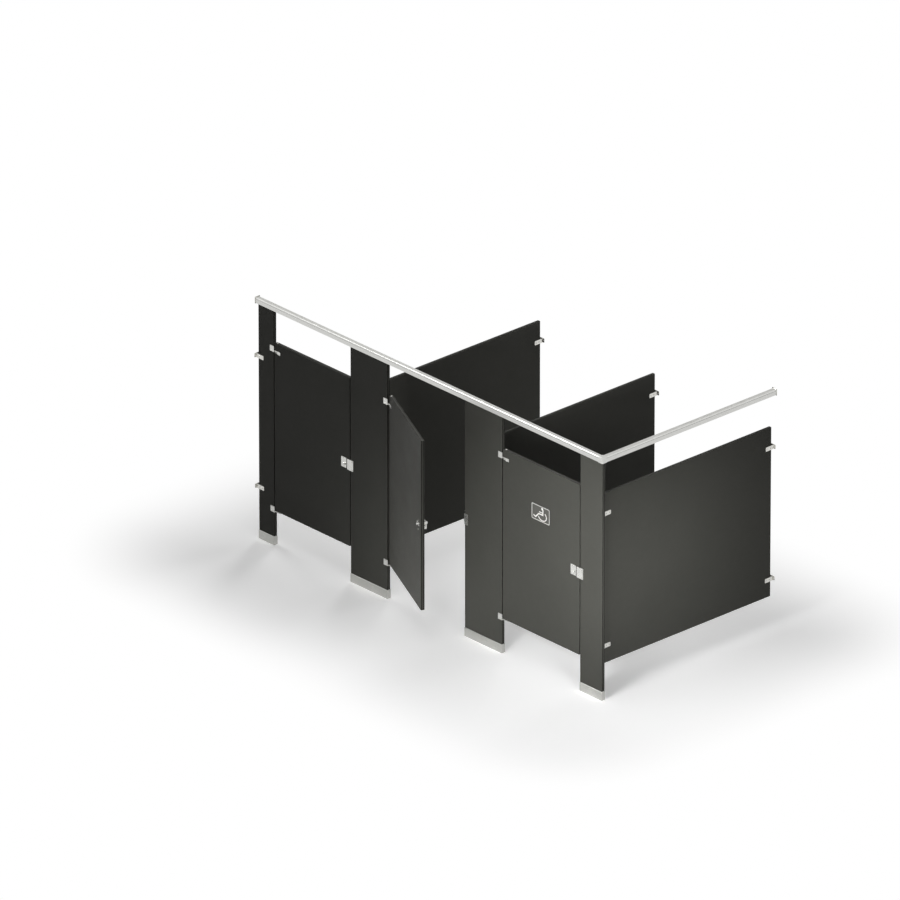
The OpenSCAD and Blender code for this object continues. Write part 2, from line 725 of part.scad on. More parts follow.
module hinge_brackets() {
  color(steel) for (i = [0 : 2]) translate([right_edge(i), 0, 0]) {
    difference() {
      union() {
        translate([0, 0, top_plate_z]) hinge_plate(arm_t);
        translate([hinge_gap - hinge_reach, -arm_r, top_plate_z])
          cube([axis_inset - hinge_gap + hinge_reach, 2 * arm_r, arm_t]);
        translate([axis_inset, 0, top_plate_z]) cylinder(r = arm_r, h = arm_t);
      }
      translate([axis_inset, 0, top_plate_z - cut])
        cylinder(r = pin_r + run_clear, h = arm_t + 2 * cut);
      for (r = hinge_screw_rows)
        rod_y(-hinge_screw_inset, top_plate_z + r, screw_r + hole_clear,
          front_face - hinge_plate_t - cut, front_face + cut);
    }
    difference() {
      union() {
        translate([0, 0, low_arm_z]) hinge_plate(low_arm_t);
        translate([hinge_gap - hinge_reach, -arm_r, low_arm_z])
          cube([axis_inset - hinge_gap + hinge_reach + low_arm_reach, 2 * arm_r, low_arm_t]);
        translate([axis_inset + low_arm_reach, 0, low_arm_z])
          cylinder(r = arm_r, h = low_arm_t);
        translate([axis_inset, 0, low_arm_z])
          cylinder(r = post_r, h = low_arm_t + seat_gap + collar_h + post_h);
      }
      for (r = hinge_screw_rows)
        rod_y(-hinge_screw_inset, low_arm_z + r, screw_r + hole_clear,
          front_face - hinge_plate_t - cut, front_face + cut);
    }
  }
}

// Moves from a door's own frame, with the hinge axis on Z, to where the door stands
module at_door(i) {
  translate([right_edge(i) + axis_inset, 0, 0]) rotate([0, 0, rest_angles[i]]) children();
}

module door(i) {
  color(charcoal) at_door(i) difference() {
    translate([(door_left + door_right) / 2, 0, floor_gap]) skin(door_w, door_t, panel_h);
    translate([door_left - cut, -door_t / 2 - cut, arm_z - notch_h / 2])
      cube([notch_u - door_left + cut, door_t + 2 * cut, notch_h]);
    translate([0, 0, arm_z]) cylinder(r = pin_r + hole_clear, h = arm_drop + cut);
    translate([0, 0, floor_gap - cut]) cylinder(r = barrel_r + hole_clear, h = skin_t + 2 * cut);
    knob_slot(i, -door_t / 2 - cut, door_t / 2 + cut);
    for (side = [-1, 1])
      rod_y(case_mid, latch_z + side * latch_bolt_pitch, sleeve_r + hole_clear,
        -door_t / 2 - cut, door_t / 2 + cut);
  }
}

// Slot along which the knobs' stem slides
module knob_slot(i, y0, y1) {
  rod_y(knob_u, bolt_z(i), slot_r, y0, y1);
  rod_y(knob_u + bolt_travel, bolt_z(i), slot_r, y0, y1);
  translate([knob_u, y0, bolt_z(i) - slot_r]) cube([bolt_travel, y1 - y0, 2 * slot_r]);
}

module door_core(i) {
  color(card) at_door(i)
    core_grid(even_webs(door_w), door_t, floor_gap + skin_t, door_top - skin_t, door_left);
}

module top_pin(i) {
  low = arm_z - notch_h / 2 - pin_tail;
  color(steel) at_door(i) {
    translate([0, 0, low]) cylinder(r = pin_r, h = door_top - low);
    translate([0, 0, door_top]) cylinder(r = pin_head_r, h = pin_head_h);
  }
}

// Channel that lines the door's notch, with a plate on the door's face
module top_insert(i) {
  color(steel) at_door(i) difference() {
    union() {
      translate([door_left + edge_r, -door_t / 2, arm_z - notch_h / 2])
        cube([notch_u - door_left - edge_r, door_t, notch_h]);
      translate([notch_u - insert_t, -door_t / 2 - face_plate_t, arm_z - face_plate_h / 2])
        cube([face_plate_w, face_plate_t, face_plate_h]);
    }
    translate([door_left - cut, -door_t, arm_z - notch_h / 2 + insert_t])
      cube([insert_reach - door_left + cut, 2 * door_t, notch_h - 2 * insert_t]);
    translate([0, 0, arm_z - notch_h / 2 - cut])
      cylinder(r = pin_r + hole_clear, h = notch_h + 2 * cut);
  }
}

module bottom_bush(i) {
  color(nylon) at_door(i) difference() {
    union() {
      translate([0, 0, floor_gap - collar_h]) cylinder(r = collar_r, h = collar_h);
      translate([0, 0, floor_gap - collar_h])
        cylinder(r = barrel_r, h = collar_h + post_h + seat_gap + bush_end);
    }
    translate([0, 0, floor_gap - collar_h - cut])
      cylinder(r = post_r + run_clear, h = cut + collar_h + post_h + seat_gap);
  }
}

// Zinc case with the bolt's guide through it and a hollow on each side of the guide
module latch_case(i) {
  guide_half = bolt_h / 2 + bolt_clear;
  color(steel) at_door(i) difference() {
    union() {
      translate([case_right - case_w, door_back, latch_z - plate_h / 2])
        cube([case_w, plate_t, plate_h]);
      translate([case_right - case_w, door_back, latch_z - case_h / 2])
        cube([case_w, case_d, case_h]);
    }
    difference() {
      translate([case_right - case_w + case_t, door_back - cut, latch_z - case_h / 2 + case_t])
        cube([case_w - 2 * case_t, case_d - case_t + cut, case_h - 2 * case_t]);
      translate([case_right - case_w, door_back - cut, bolt_z(i) - guide_half - guide_t])
        cube([case_w, case_d + cut, 2 * (guide_half + guide_t)]);
    }
    translate([bolt_end - bolt_l - bolt_clear, bolt_y - bolt_t / 2 - bolt_clear,
        bolt_z(i) - guide_half])
      cube([bolt_l, bolt_t + 2 * bolt_clear, 2 * guide_half]);
    knob_slot(i, door_back - cut, door_back + case_d + cut);
    for (side = [-1, 1])
      rod_y(case_mid, latch_z + side * latch_bolt_pitch, sleeve_r + hole_clear,
        door_back - cut, door_back + plate_t + cut);
  }
}

module latch_plate(i) {
  z = swings[i] > 0 ? latch_z : bolt_z(i);
  h = swings[i] > 0 ? plate_h : small_plate_h;
  color(steel) at_door(i) difference() {
    translate([case_right - case_w, -door_back - plate_t, z - h / 2]) cube([case_w, plate_t, h]);
    knob_slot(i, -door_back - plate_t - cut, -door_back + cut);
    if (swings[i] > 0)
      for (side = [-1, 1])
        rod_y(case_mid, latch_z + side * latch_bolt_pitch, sleeve_r + hole_clear,
          -door_back - plate_t - cut, -door_back + cut);
  }
}

inner_knob_y = door_back + case_d + knob_clear;
outer_knob_y = -door_back - plate_t - knob_clear;

module latch_bolt(i) {
  color(steel) at_door(i) difference() {
    translate([bolt_end - bolt_l, bolt_y - bolt_t / 2, bolt_z(i) - bolt_h / 2])
      cube([bolt_l, bolt_t, bolt_h]);
    rod_y(knob_u, bolt_z(i), stem_r + hole_clear, door_back, inner_knob_y);
  }
}

// Inner knob with the stem that passes through bolt and door, and the outer knob on its end
module latch_knob(i) {
  stem_end = outer_knob_y - knob_l / 2;
  color(steel) at_door(i) {
    rod_y(knob_u, bolt_z(i), stem_r, stem_end, inner_knob_y + cut);
    rod_y(knob_u, bolt_z(i), knob_r, inner_knob_y, inner_knob_y + knob_l);
    difference() {
      rod_y(knob_u, bolt_z(i), knob_r, outer_knob_y - knob_l, outer_knob_y);
      rod_y(knob_u, bolt_z(i), stem_r + hole_clear, stem_end - hole_clear, outer_knob_y + cut);
    }
  }
}

module door_bolts(i) {
  outside = swings[i] > 0 ? -door_back - plate_t : -door_back;
  color(steel) at_door(i) for (side = [-1, 1])
    through_bolt_y(case_mid, latch_z + side * latch_bolt_pitch, outside, door_back + plate_t);
}

function keeper_front(i) = swings[i] > 0 ? front_face - seat_gap - bumper_t - stop_t :
  front_face - keeper_leg_t;
function stop_reach(i) = swings[i] > 0 ? keeper_reach : keeper_reach_out;
keeper_low = keeper_z - keeper_h / 2;
keeper_high = keeper_z + keeper_h / 2;
keeper_hole = bolt_h / 2 + keeper_clear;

// Keeper folded round the pilaster's edge: a stop over the door on the side that the
// door comes to, and a loop for the bolt on the inside
module keeper(i) {
  edge = left_edge(i + 1);
  stop_y = swings[i] > 0 ? keeper_front(i) : back_face + seat_gap + bumper_t;
  hole_y = bolt_y - bolt_t / 2 - keeper_clear;
  hole_d = bolt_t + 2 * keeper_clear;
  color(steel) difference() {
    union() {
      translate([edge, keeper_front(i), keeper_low])
        cube([keeper_w, front_face - keeper_front(i), keeper_h]);
      translate([edge - keeper_web, keeper_front(i), keeper_low])
        cube([keeper_web, back_face + keeper_leg_t - keeper_front(i), keeper_h]);
      translate([edge, back_face, keeper_low]) cube([keeper_w, keeper_leg_t, keeper_h]);
      translate([edge - stop_reach(i), stop_y, keeper_low])
        cube([stop_reach(i) + loop_l, stop_t, keeper_h]);
      translate([edge, back_face, bolt_z(i) - keeper_hole - loop_t])
        cube([loop_l, hole_y + hole_d + loop_t - back_face, 2 * (keeper_hole + loop_t)]);
    }
    translate([edge - keeper_reach_out - cut, hole_y, bolt_z(i) - keeper_hole])
      cube([keeper_reach_out + loop_l + 2 * cut, hole_d, 2 * keeper_hole]);
    if (swings[i] < 0)
      translate([edge - keeper_reach_out - cut, back_face, bolt_z(i) - keeper_hole])
        cube([keeper_reach_out - keeper_web + cut, hole_d, 2 * keeper_hole]);
    for (side = [-1, 1])
      rod_y(edge + keeper_bolt_inset, keeper_z + side * keeper_bolt_pitch, sleeve_r + hole_clear,
        keeper_front(i) - cut, back_face + keeper_leg_t + cut);
  }
}

// Rubber strip on a keeper's stop, from one height to another
module bumper(i, low, high) {
  y = swings[i] > 0 ? front_face - seat_gap - bumper_t : back_face + seat_gap;
  translate([left_edge(i + 1) - stop_reach(i), y, low + bumper_rim])
    cube([stop_reach(i) - latch_gap, bumper_t, high - low - 2 * bumper_rim]);
}

module keeper_bumpers() {
  color(rubber) {
    for (i = [0, 2]) bumper(i, keeper_low, keeper_high);
    bumper(1, keeper_low, bolt_z(1) - keeper_hole);
    bumper(1, bolt_z(1) + keeper_hole, keeper_high);
  }
}

module door_sign() {
  color(charcoal) at_door(2) translate([sign_u, -door_t / 2, sign_z - sign_h / 2])
    translate([0, 0, sign_h / 2]) rotate([90, 0, 0]) translate([0, -sign_h / 2, 0])
      linear_extrude(height = sign_t) {
        translate([-sign_w / 2 + sign_r, 0]) square([sign_w - 2 * sign_r, sign_h]);
        translate([-sign_w / 2, sign_r]) square([sign_w, sign_h - 2 * sign_r]);
        for (x = [-1, 1], y = [0, 1])
          translate([x * (sign_w / 2 - sign_r), sign_r + y * (sign_h - 2 * sign_r)])
            circle(r = sign_r);
      }
}

pilaster(0);  // pilaster_1
pilaster(1);  // pilaster_2
pilaster(2);  // pilaster_3
pilaster(3);  // pilaster_4
pilaster_cores();
shoe(0);  // shoe_1
shoe(1);  // shoe_2
shoe(2);  // shoe_3
shoe(3);  // shoe_4
floor_channels();
levelling_bolts();
headrail_front();
headrail_side();
headrail_corner();
headrail_wall_plates();
panel(0);  // panel_1
panel(1);  // panel_2
panel(2);  // panel_3
panel_cores();
pilaster_brackets();
wall_brackets();
through_bolts();
frame_screws();
hinge_brackets();
keeper(0);  // keeper_1
keeper(1);  // keeper_2
keeper(2);  // keeper_3
keeper_bumpers();
door(0);  // door_1
door_core(0);  // door_1_core
top_pin(0);  // top_pin_1
top_insert(0);  // top_insert_1
bottom_bush(0);  // bottom_bush_1
latch_case(0);  // latch_case_1
latch_plate(0);  // latch_plate_1
latch_bolt(0);  // latch_bolt_1
latch_knob(0);  // latch_knob_1
door_bolts(0);  // door_bolts_1
door(1);  // door_2
door_core(1);  // door_2_core
top_pin(1);  // top_pin_2
top_insert(1);  // top_insert_2
bottom_bush(1);  // bottom_bush_2
latch_case(1);  // latch_case_2
latch_plate(1);  // latch_plate_2
latch_bolt(1);  // latch_bolt_2
latch_knob(1);  // latch_knob_2
door_bolts(1);  // door_bolts_2
door(2);  // door_3
door_core(2);  // door_3_core
top_pin(2);  // top_pin_3
top_insert(2);  // top_insert_3
bottom_bush(2);  // bottom_bush_3
latch_case(2);  // latch_case_3
latch_plate(2);  // latch_plate_3
latch_bolt(2);  // latch_bolt_3
latch_knob(2);  // latch_knob_3
door_bolts(2);  // door_bolts_3
door_sign();
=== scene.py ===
"""Looks of a three-stall toilet partition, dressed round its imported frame.

Every piece is made in metres in the frame's own axes: X along the front line, Y back
into the stalls, Z up. Doors are made shut, in their own frames, and then swung to
where they stand.
"""
import json
import math

import bmesh
import bpy
from mathutils import Matrix, Vector
from mathutils.geometry import tessellate_polygon

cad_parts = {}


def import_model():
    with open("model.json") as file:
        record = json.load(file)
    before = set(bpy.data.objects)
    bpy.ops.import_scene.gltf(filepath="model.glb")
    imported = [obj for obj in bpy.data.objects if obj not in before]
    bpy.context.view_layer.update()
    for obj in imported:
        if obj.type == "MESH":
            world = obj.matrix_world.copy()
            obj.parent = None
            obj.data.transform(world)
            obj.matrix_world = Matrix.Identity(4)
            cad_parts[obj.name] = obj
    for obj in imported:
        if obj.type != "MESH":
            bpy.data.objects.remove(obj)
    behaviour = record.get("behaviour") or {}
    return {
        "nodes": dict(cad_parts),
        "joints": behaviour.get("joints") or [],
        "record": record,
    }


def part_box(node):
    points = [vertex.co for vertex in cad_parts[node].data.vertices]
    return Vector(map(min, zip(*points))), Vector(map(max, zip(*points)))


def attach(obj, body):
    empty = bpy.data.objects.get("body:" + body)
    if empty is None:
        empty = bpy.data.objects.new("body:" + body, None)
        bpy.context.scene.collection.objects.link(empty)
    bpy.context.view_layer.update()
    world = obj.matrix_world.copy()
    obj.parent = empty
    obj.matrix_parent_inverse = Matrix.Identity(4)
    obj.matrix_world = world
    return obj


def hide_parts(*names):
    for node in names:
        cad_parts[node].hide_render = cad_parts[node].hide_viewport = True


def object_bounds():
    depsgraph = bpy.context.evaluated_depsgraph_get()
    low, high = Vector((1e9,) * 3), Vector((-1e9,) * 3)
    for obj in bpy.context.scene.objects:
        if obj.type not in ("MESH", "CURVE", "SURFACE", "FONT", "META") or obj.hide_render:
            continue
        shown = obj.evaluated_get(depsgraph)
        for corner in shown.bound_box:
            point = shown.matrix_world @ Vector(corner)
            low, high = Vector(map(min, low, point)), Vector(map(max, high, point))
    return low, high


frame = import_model()
cad_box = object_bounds()

MM = 0.001
ORIGIN = Vector((0, 0, 0))
STALLS = (1, 2, 3)

# Shading and bevels
SMOOTH_UNDER = math.radians(35)
BEVEL_OVER = math.radians(40)
BEVEL_SEGMENTS = 2
FACE_WEIGHT = 100
SAME_POINT = 1e-6
SAME_PLANE = math.radians(0.5)
KEPT_SAME_POINT = 1e-5
KEPT_SAME_PLANE = math.radians(1)

# Leaves: pilasters, panels and doors
RIM = 3 * MM
RIM_STEPS = 4
LEAF_CORNER = 4 * MM
SEAM_LIP = 0.8 * MM
SEAM_W = 5 * MM
SEAM_D = 0.8 * MM
SEAM_SLOPE = 0.5 * MM
SHEET = 1 * MM
FOOT_BAR = 8 * MM
NOTCH_DEPTH = 38 * MM
NOTCH_H = 20 * MM
BOLT_TRAVEL = 20 * MM
SLOT_CLEAR = 0.1 * MM
SLOT_STEPS = 10
CUT = 2 * MM

# Shoes
SHOE_SHEET = 1 * MM
SHOE_CORNER = 4 * MM
SHOE_BEND = 3 * MM
SHOE_GAP = 0.6 * MM
SHOE_CLEAR = 0.2 * MM
BEND_STEPS = 4

# Headrail
RAIL_WALL = 2 * MM
RAIL_SKIRT = 28 * MM
RAIL_R = 8 * MM
SHOULDER_STEPS = 8
CAVITY_STEPS = 6
RAIL_RIBS = 11
RIB_DEPTH = 0.6 * MM
RIB_SLOPE = 0.25 * MM
RIB_LAND = 0.55
REED_DROP = 12 * MM
REED_W = 2.4 * MM
REED_DEPTH = 0.7 * MM
# How dark the rail's shadow line is painted: painted shade and dirt.
REED_SHADE_AND_DIRT = 0.7
GAUGE = 0.1 * MM
CORNER_WALL = 2 * MM
CORNER_RIM = 2.5 * MM
CORNER_BEVEL = 0.4 * MM

# Hardware
PLATE_T = 3 * MM
WRAP_T = 2.7 * MM
HINGE_T = 4 * MM
BRACKET_CORNER = 6 * MM
PLATE_CORNER = 5 * MM
HINGE_CORNER = 4 * MM
CORNER_STEPS = 5
PRESSED_BEVEL = 0.35 * MM
CAST_BEVEL = 0.8 * MM
LENGTH_SLACK = 0.02 * MM
ANGLE_SLACK = 0.02
KNOB_SEGMENTS = 48
KNURL_DEPTH = 0.25 * MM
STEM_R = 3.5 * MM
KNOB_CLEAR = 0.5 * MM
KNOB_RIM = 1.2 * MM
KNOB_CROWN = 1.6 * KNOB_RIM
KNOB_DISH = 1.6 * MM
KNOB_FACE = ((0.62, 0), (0.5, 0.6), (0.25, 1), (0, 1))
KNURL_WEAR = 0.5
FASTENER_SEGMENTS = 24
HEX_SHARE = 0.5
HEX_DEPTH = 1.1 * MM
BARREL_R = 3 * MM
BARREL_BORE = 2.1 * MM
BORE_FLOOR = 1 * MM
NECK_STEP = 0.05 * MM
TIP_CHAMFER = 0.3 * MM
HEAD_EDGE = 0.25
HEX_LIP = 0.1 * MM
HEX_CENTRE = 0.4 * MM

# Sign
SIGN_BASE = 2.2 * MM
SIGN_RIM = 0.6 * MM
SIGN_CORNER = 14 * MM
BORDER_INSET = 3 * MM
BORDER_W = 7 * MM
PICTO_STROKE = 11 * MM
HEAD_R = 10 * MM
HEAD_AT = (18 * MM, 47 * MM)
PICTO_LINES = (
    (((27, 38), (26, -4), (-22, -4), (-56, -41), (-78, -33)), PICTO_STROKE),
    (((26, 14), (-14, 14)), 8 * MM),
)
WHEEL_R = 37 * MM
WHEEL_STRETCH = 1.25
WHEEL_AT = (21 * MM, -16 * MM)
WHEEL_SPAN = (-160, 48)
WHEEL_STEPS = 28
WHEEL_STROKE = 0.8 * PICTO_STROKE
SIGN_STEPS = 6
RAISED_RIM = 0.2 * MM
SUNK = 0.1 * MM


# Meshes

class Solid:
    """A mesh in the making, with a value at each point for rims painted lighter, as wear and
    painted highlight, and one for grooves, recesses and rims painted darker, as painted shade and
    dirt.
    """

    def __init__(self, mesh=None):
        self.bm = bmesh.new()
        if mesh:
            self.bm.from_mesh(mesh)
        self.wear_and_highlight = self.bm.verts.layers.float.new("wear_and_highlight")
        self.seam = self.bm.verts.layers.float.new("seam")

    def ring(self, points, wear_and_highlight=0.0, seam=0.0):
        verts = [self.bm.verts.new(p) for p in points]
        for v in verts:
            v[self.wear_and_highlight] = wear_and_highlight
            v[self.seam] = seam
        return verts

    def join(self, rings, round_ring=True):
        """Faces between each ring of points and the next."""
        for a, b in zip(rings, rings[1:]):
            count = len(a)
            for k in range(count if round_ring else count - 1):
                j = (k + 1) % count
                self.bm.faces.new((a[k], a[j], b[j], b[k]))

    def fan(self, ring, tip):
        """Faces from a ring to one point."""
        top = self.bm.verts.new(tip)
        for k in range(len(ring)):
            self.bm.faces.new((ring[k], ring[(k + 1) % len(ring)], top))

    def cap(self, loops):
        """A flat end; the loops after the first are its holes."""
        if len(loops) == 1:
            self.bm.faces.new(loops[0])
            return
        verts = [v for loop in loops for v in loop]
        for triangle in tessellate_polygon([[v.co for v in loop] for loop in loops]):
            self.bm.faces.new([verts[k] for k in triangle])

    def face_out(self):
        bmesh.ops.recalc_face_normals(self.bm, faces=self.bm.faces)


def axes(origin, x, y):
    """Matrix from a frame with the given origin and X and Y directions."""
    x, y = Vector(x).normalized(), Vector(y).normalized()
    turned = Matrix((x, y, x.cross(y))).transposed().to_4x4()
    return Matrix.Translation(origin) @ turned


def corners(points):
    """Lowest and highest corner of some points."""
    low = Vector([min(p[k] for p in points) for k in range(3)])
    high = Vector([max(p[k] for p in points) for k in range(3)])
    return low, high


def rounded_rect(w, h, r, steps=4):
    """Rectangle with round corners, anticlockwise, its middle at the origin."""
    points = []
    for x, y, start in ((1, 1, 0), (-1, 1, 90), (-1, -1, 180), (1, -1, 270)):
        for k in range(steps + 1):
            a = math.radians(start + 90 * k / steps)
            points.append(Vector((x * (w / 2 - r) + r * math.cos(a),
                                  y * (h / 2 - r) + r * math.sin(a))))
    return points


def circle(r, x=0.0, y=0.0, count=24):
    turns = [2 * math.pi * k / count for k in range(count)]
    return [Vector((x + r * math.cos(a), y + r * math.sin(a))) for a in turns]


def arc(x, y, r, start, end, steps):
    """Points on an arc, with its angles in degrees."""
    turns = [math.radians(start + (end - start) * k / steps) for k in range(steps + 1)]
    return [Vector((x + r * math.cos(a), y + r * math.sin(a))) for a in turns]


def slot_outline(a, b, r):
    """A slot's outline between two points on a level line."""
    return arc(b.x, b.y, r, -90, 90, SLOT_STEPS) + arc(a.x, a.y, r, 90, 270, SLOT_STEPS)


def inset_loop(points, depth):
    """A closed outline moved inwards; a hole's outline, which runs clockwise, grows."""
    moved = []
    for k, p in enumerate(points):
        into = (p - points[k - 1]).normalized()
        out = (points[(k + 1) % len(points)] - p).normalized()
        a, b = Vector((-into.y, into.x)), Vector((-out.y, out.x))
        moved.append(p + (a + b) / (1 + a.dot(b)) * depth)
    return moved


def stroke(points, width, steps=6):
    """Outline of a line of the given width, with round ends and mitred bends."""
    half = width / 2
    along = [(b - a).normalized() for a, b in zip(points, points[1:])]
    left = []
    for k, p in enumerate(points[1:-1]):
        a, b = [Vector((-d.y, d.x)) for d in (along[k], along[k + 1])]
        left.append((a + b) / (1 + a.dot(b)) * half)
    middle = points[1:-1]
    start, end = [math.degrees(math.atan2(d.y, d.x)) for d in (along[0], along[-1])]
    outline = [p - side for p, side in zip(middle, left)]
    outline += arc(points[-1].x, points[-1].y, half, end - 90, end + 90, steps)
    outline += [p + side for p, side in zip(middle[::-1], left[::-1])]
    return outline + arc(points[0].x, points[0].y, half, start + 90, start + 270, steps)


def sweep(solid, parts, place):
    """Solid through levels of (inset, height, wear, seam) on an outline and on its holes."""
    ends = ([], [])
    for loop, levels in parts:
        rings = []
        for inset, z, wear_and_highlight, seam in levels:
            outline = inset_loop(loop, inset) if inset else loop
            points = [place @ Vector((p.x, p.y, z)) for p in outline]
            rings.append(solid.ring(points, wear_and_highlight, seam))
        solid.join(rings)
        ends[0].append(rings[0])
        ends[1].append(rings[-1])
    solid.cap(ends[0])
    solid.cap(ends[1])


def prism(solid, loops, low, high, place, rim=0.0, steps=2):
    """Solid between two heights on an outline, less its holes, with its rims rounded."""
    shape = [(rim * left, rim * across, wear_and_highlight) for across, left, wear_and_highlight in quarter_turn(steps)]
    if rim == 0:
        shape = [(0.0, 0.0, 0.0)]
    levels = [(inset, low + rise, wear_and_highlight, 0) for inset, rise, wear_and_highlight in shape]
    levels += [(inset, high - rise, wear_and_highlight, 0) for inset, rise, wear_and_highlight in reversed(shape)]
    sweep(solid, [(loop, levels) for loop in loops], place)


def lathe(solid, profile, place, segments=FASTENER_SEGMENTS, knurl=0.0):
    """Turned solid; the profile's points, (radius, height, wear, seam), run axis to axis."""
    rings = []
    for point in profile[1:-1]:
        r, z, wear_and_highlight, seam = (*point, 0, 0)[:4]
        ring = []
        for k in range(segments):
            a = 2 * math.pi * k / segments
            cut = knurl if k % 2 else 0.0
            ring.append(place @ Vector(((r - cut) * math.cos(a), (r - cut) * math.sin(a), z)))
        rings.append(solid.ring(ring, wear_and_highlight, seam))
    solid.join(rings)
    solid.fan(rings[0], place @ Vector((0, 0, profile[0][1])))
    solid.fan(rings[-1], place @ Vector((0, 0, profile[-1][1])))


def quarter_turn(steps, first=0):
    """A quarter circle in steps: 1 - cos, 1 - sin, and a value for rims painted lighter, as wear
    and painted highlight, highest half way.
    """
    turns = [math.radians(90 * k / steps) for k in range(first, steps + 1)]
    return [(1 - math.cos(a), 1 - math.sin(a), math.sin(2 * a)) for a in turns]


def joined_with(made, other, operation):
    """One object cut by another or joined to it, and the other deleted."""
    tool = made.modifiers.new("joined", "BOOLEAN")
    tool.object = other
    tool.operation = operation
    tool.solver = "EXACT"
    bpy.context.view_layer.update()
    seen = made.evaluated_get(bpy.context.evaluated_depsgraph_get())
    mesh = bpy.data.meshes.new_from_object(seen)
    made.modifiers.clear()
    made.data = mesh
    bpy.data.objects.remove(other)


def bare_object(solid, name):
    mesh = bpy.data.meshes.new(name)
    solid.bm.to_mesh(mesh)
    solid.bm.free()
    made = bpy.data.objects.new(name, mesh)
    bpy.context.scene.collection.objects.link(made)
    return made


def block(low, high):
    """A plain box as an object, for cutting with."""
    solid = Solid()
    size = high - low
    square = [Vector((x * size.x / 2, y * size.y / 2))
              for x, y in ((1, 1), (-1, 1), (-1, -1), (1, -1))]
    prism(solid, [square], -size.z / 2, size.z / 2, Matrix.Translation((low + high) / 2))
    solid.face_out()
    return bare_object(solid, "cutter")


def softened(made, width):
    """Fine bevels on an object's sharp edges."""
    soften = made.modifiers.new("fine_bevel", "BEVEL")
    soften.width = width
    soften.segments = BEVEL_SEGMENTS
    soften.limit_method = "ANGLE"
    soften.angle_limit = BEVEL_OVER


def flat_faces_flat(made, keep_sharp):
    """Normals that follow an object's large faces."""
    weigh = made.modifiers.new("flat_faces_flat", "WEIGHTED_NORMAL")
    weigh.keep_sharp = keep_sharp
    weigh.weight = FACE_WEIGHT


def piece(made, finish, node, bevel=0.0, stands_for=()):
    """Finishes an object: place, material, shading, fine bevels, and the body it rides on."""
    if isinstance(made, tuple):
        made = bare_object(*made)
    mesh = made.data
    mesh.transform(place_of(node))
    mesh.materials.clear()
    mesh.materials.append(FINISHES[finish])
    mesh.polygons.foreach_set("use_smooth", [True] * len(mesh.polygons))
    mesh.set_sharp_from_angle(angle=SMOOTH_UNDER)
    if bevel:
        softened(made, bevel)
    flat_faces_flat(made, keep_sharp=True)
    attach(made, BODY_OF[node])
    if stands_for:
        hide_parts(*stands_for)
    return made


BODY_OF = {node: body for body, nodes in frame["record"]["behaviour"]["bodies"].items()
           for node in nodes}


def door_place(i):
    """From a door's own frame, shut and with its hinge on Z, to where the door stands."""
    joint = next(j for j in frame["joints"] if j["name"] == f"door_{i}_swing")
    x, y, _ = joint["pos_m"]
    furthest_out, shut = joint["range_deg"]
    stands = -shut if furthest_out < 0 else 0.0
    return Matrix.Translation((x, y, 0)) @ Matrix.Rotation(math.radians(stands), 4, "Z")


DOOR_PLACE = {i: door_place(i) for i in STALLS}


def place_of(node):
    """The own frame of the door that a node belongs to, or the whole part's frame."""
    for i in STALLS:
        if BODY_OF[node] in (f"door_leaf_{i}", f"latch_slide_{i}"):
            return DOOR_PLACE[i]
    return Matrix()


def node_mesh(node):
    """A CAD node's mesh in its own frame, with split points welded and flat faces whole."""
    solid = Solid(frame["nodes"][node].data)
    solid.bm.transform(place_of(node).inverted())
    bmesh.ops.remove_doubles(solid.bm, verts=solid.bm.verts, dist=SAME_POINT)
    bmesh.ops.dissolve_limit(solid.bm, angle_limit=SAME_PLANE,
                             verts=solid.bm.verts, edges=solid.bm.edges)
    return solid


def separate_solids(bm):
    """The separate solids of a mesh, each as a list of its points."""
    seen, found = set(), []
    for start in bm.verts:
        if start in seen:
            continue
        seen.add(start)
        group, front = [], [start]
        while front:
            v = front.pop()
            group.append(v)
            for edge in v.link_edges:
                other = edge.other_vert(v)
                if other not in seen:
                    seen.add(other)
                    front.append(other)
        found.append(group)
    return found


def node_box(node):
    """A CAD node's lowest and highest corner in its own frame."""
    back = place_of(node).inverted()
    return corners([back @ v.co for v in frame["nodes"][node].data.vertices])


# Leaves

def leaf_levels(t):
    """Section through a leaf's edge: round rims, and a crown strip between two seam grooves that
    carry painted shade and dirt.
    """
    levels = [(RIM * left, RIM * across - t / 2, wear_and_highlight, 0)
              for across, left, wear_and_highlight in quarter_turn(RIM_STEPS)]
    start = RIM + SEAM_LIP - t / 2
    levels.append((0, start, 0, 0))
    levels.append((SEAM_D, start + SEAM_SLOPE, 0, 1))
    levels.append((SEAM_D, start + SEAM_W - SEAM_SLOPE, 0, 1))
    levels.append((0, start + SEAM_W, 0, 0))
    return levels + [(inset, -z, wear_and_highlight, seam) for inset, z, wear_and_highlight, seam in reversed(levels)]


def leaf(name, outline, t, place, low_wall=SHEET, openings=()):
    """A hollow leaf of folded sheet on an outline, with openings through both faces."""
    solid = Solid()
    levels = leaf_levels(t)
    through = [(0, levels[0][1], 0, 0), (0, levels[-1][1], 0, 0)]
    sweep(solid, [(outline, levels)] + [(opening, through) for opening in openings], place)
    solid.face_out()
    floor = min(p.y for p in outline) + low_wall
    inner = [Vector((p.x, max(p.y, floor))) for p in inset_loop(outline, SHEET)]
    half = t / 2 - SHEET
    walls = [(0, -half, 0, 0), (0, half, 0, 0)]
    loops = [(inner, walls)] + [(inset_loop(opening, SHEET), walls) for opening in openings]
    before = set(solid.bm.faces)
    sweep(solid, loops, place)
    added = [f for f in solid.bm.faces if f not in before]
    bmesh.ops.recalc_face_normals(solid.bm, faces=added)
    bmesh.ops.reverse_faces(solid.bm, faces=added)
    return solid, name


def upright(low, high, across):
    """Frame for a leaf in a box: X across its width, Y up, Z through its thickness."""
    return axes((low + high) / 2, across, (0, 0, 1))


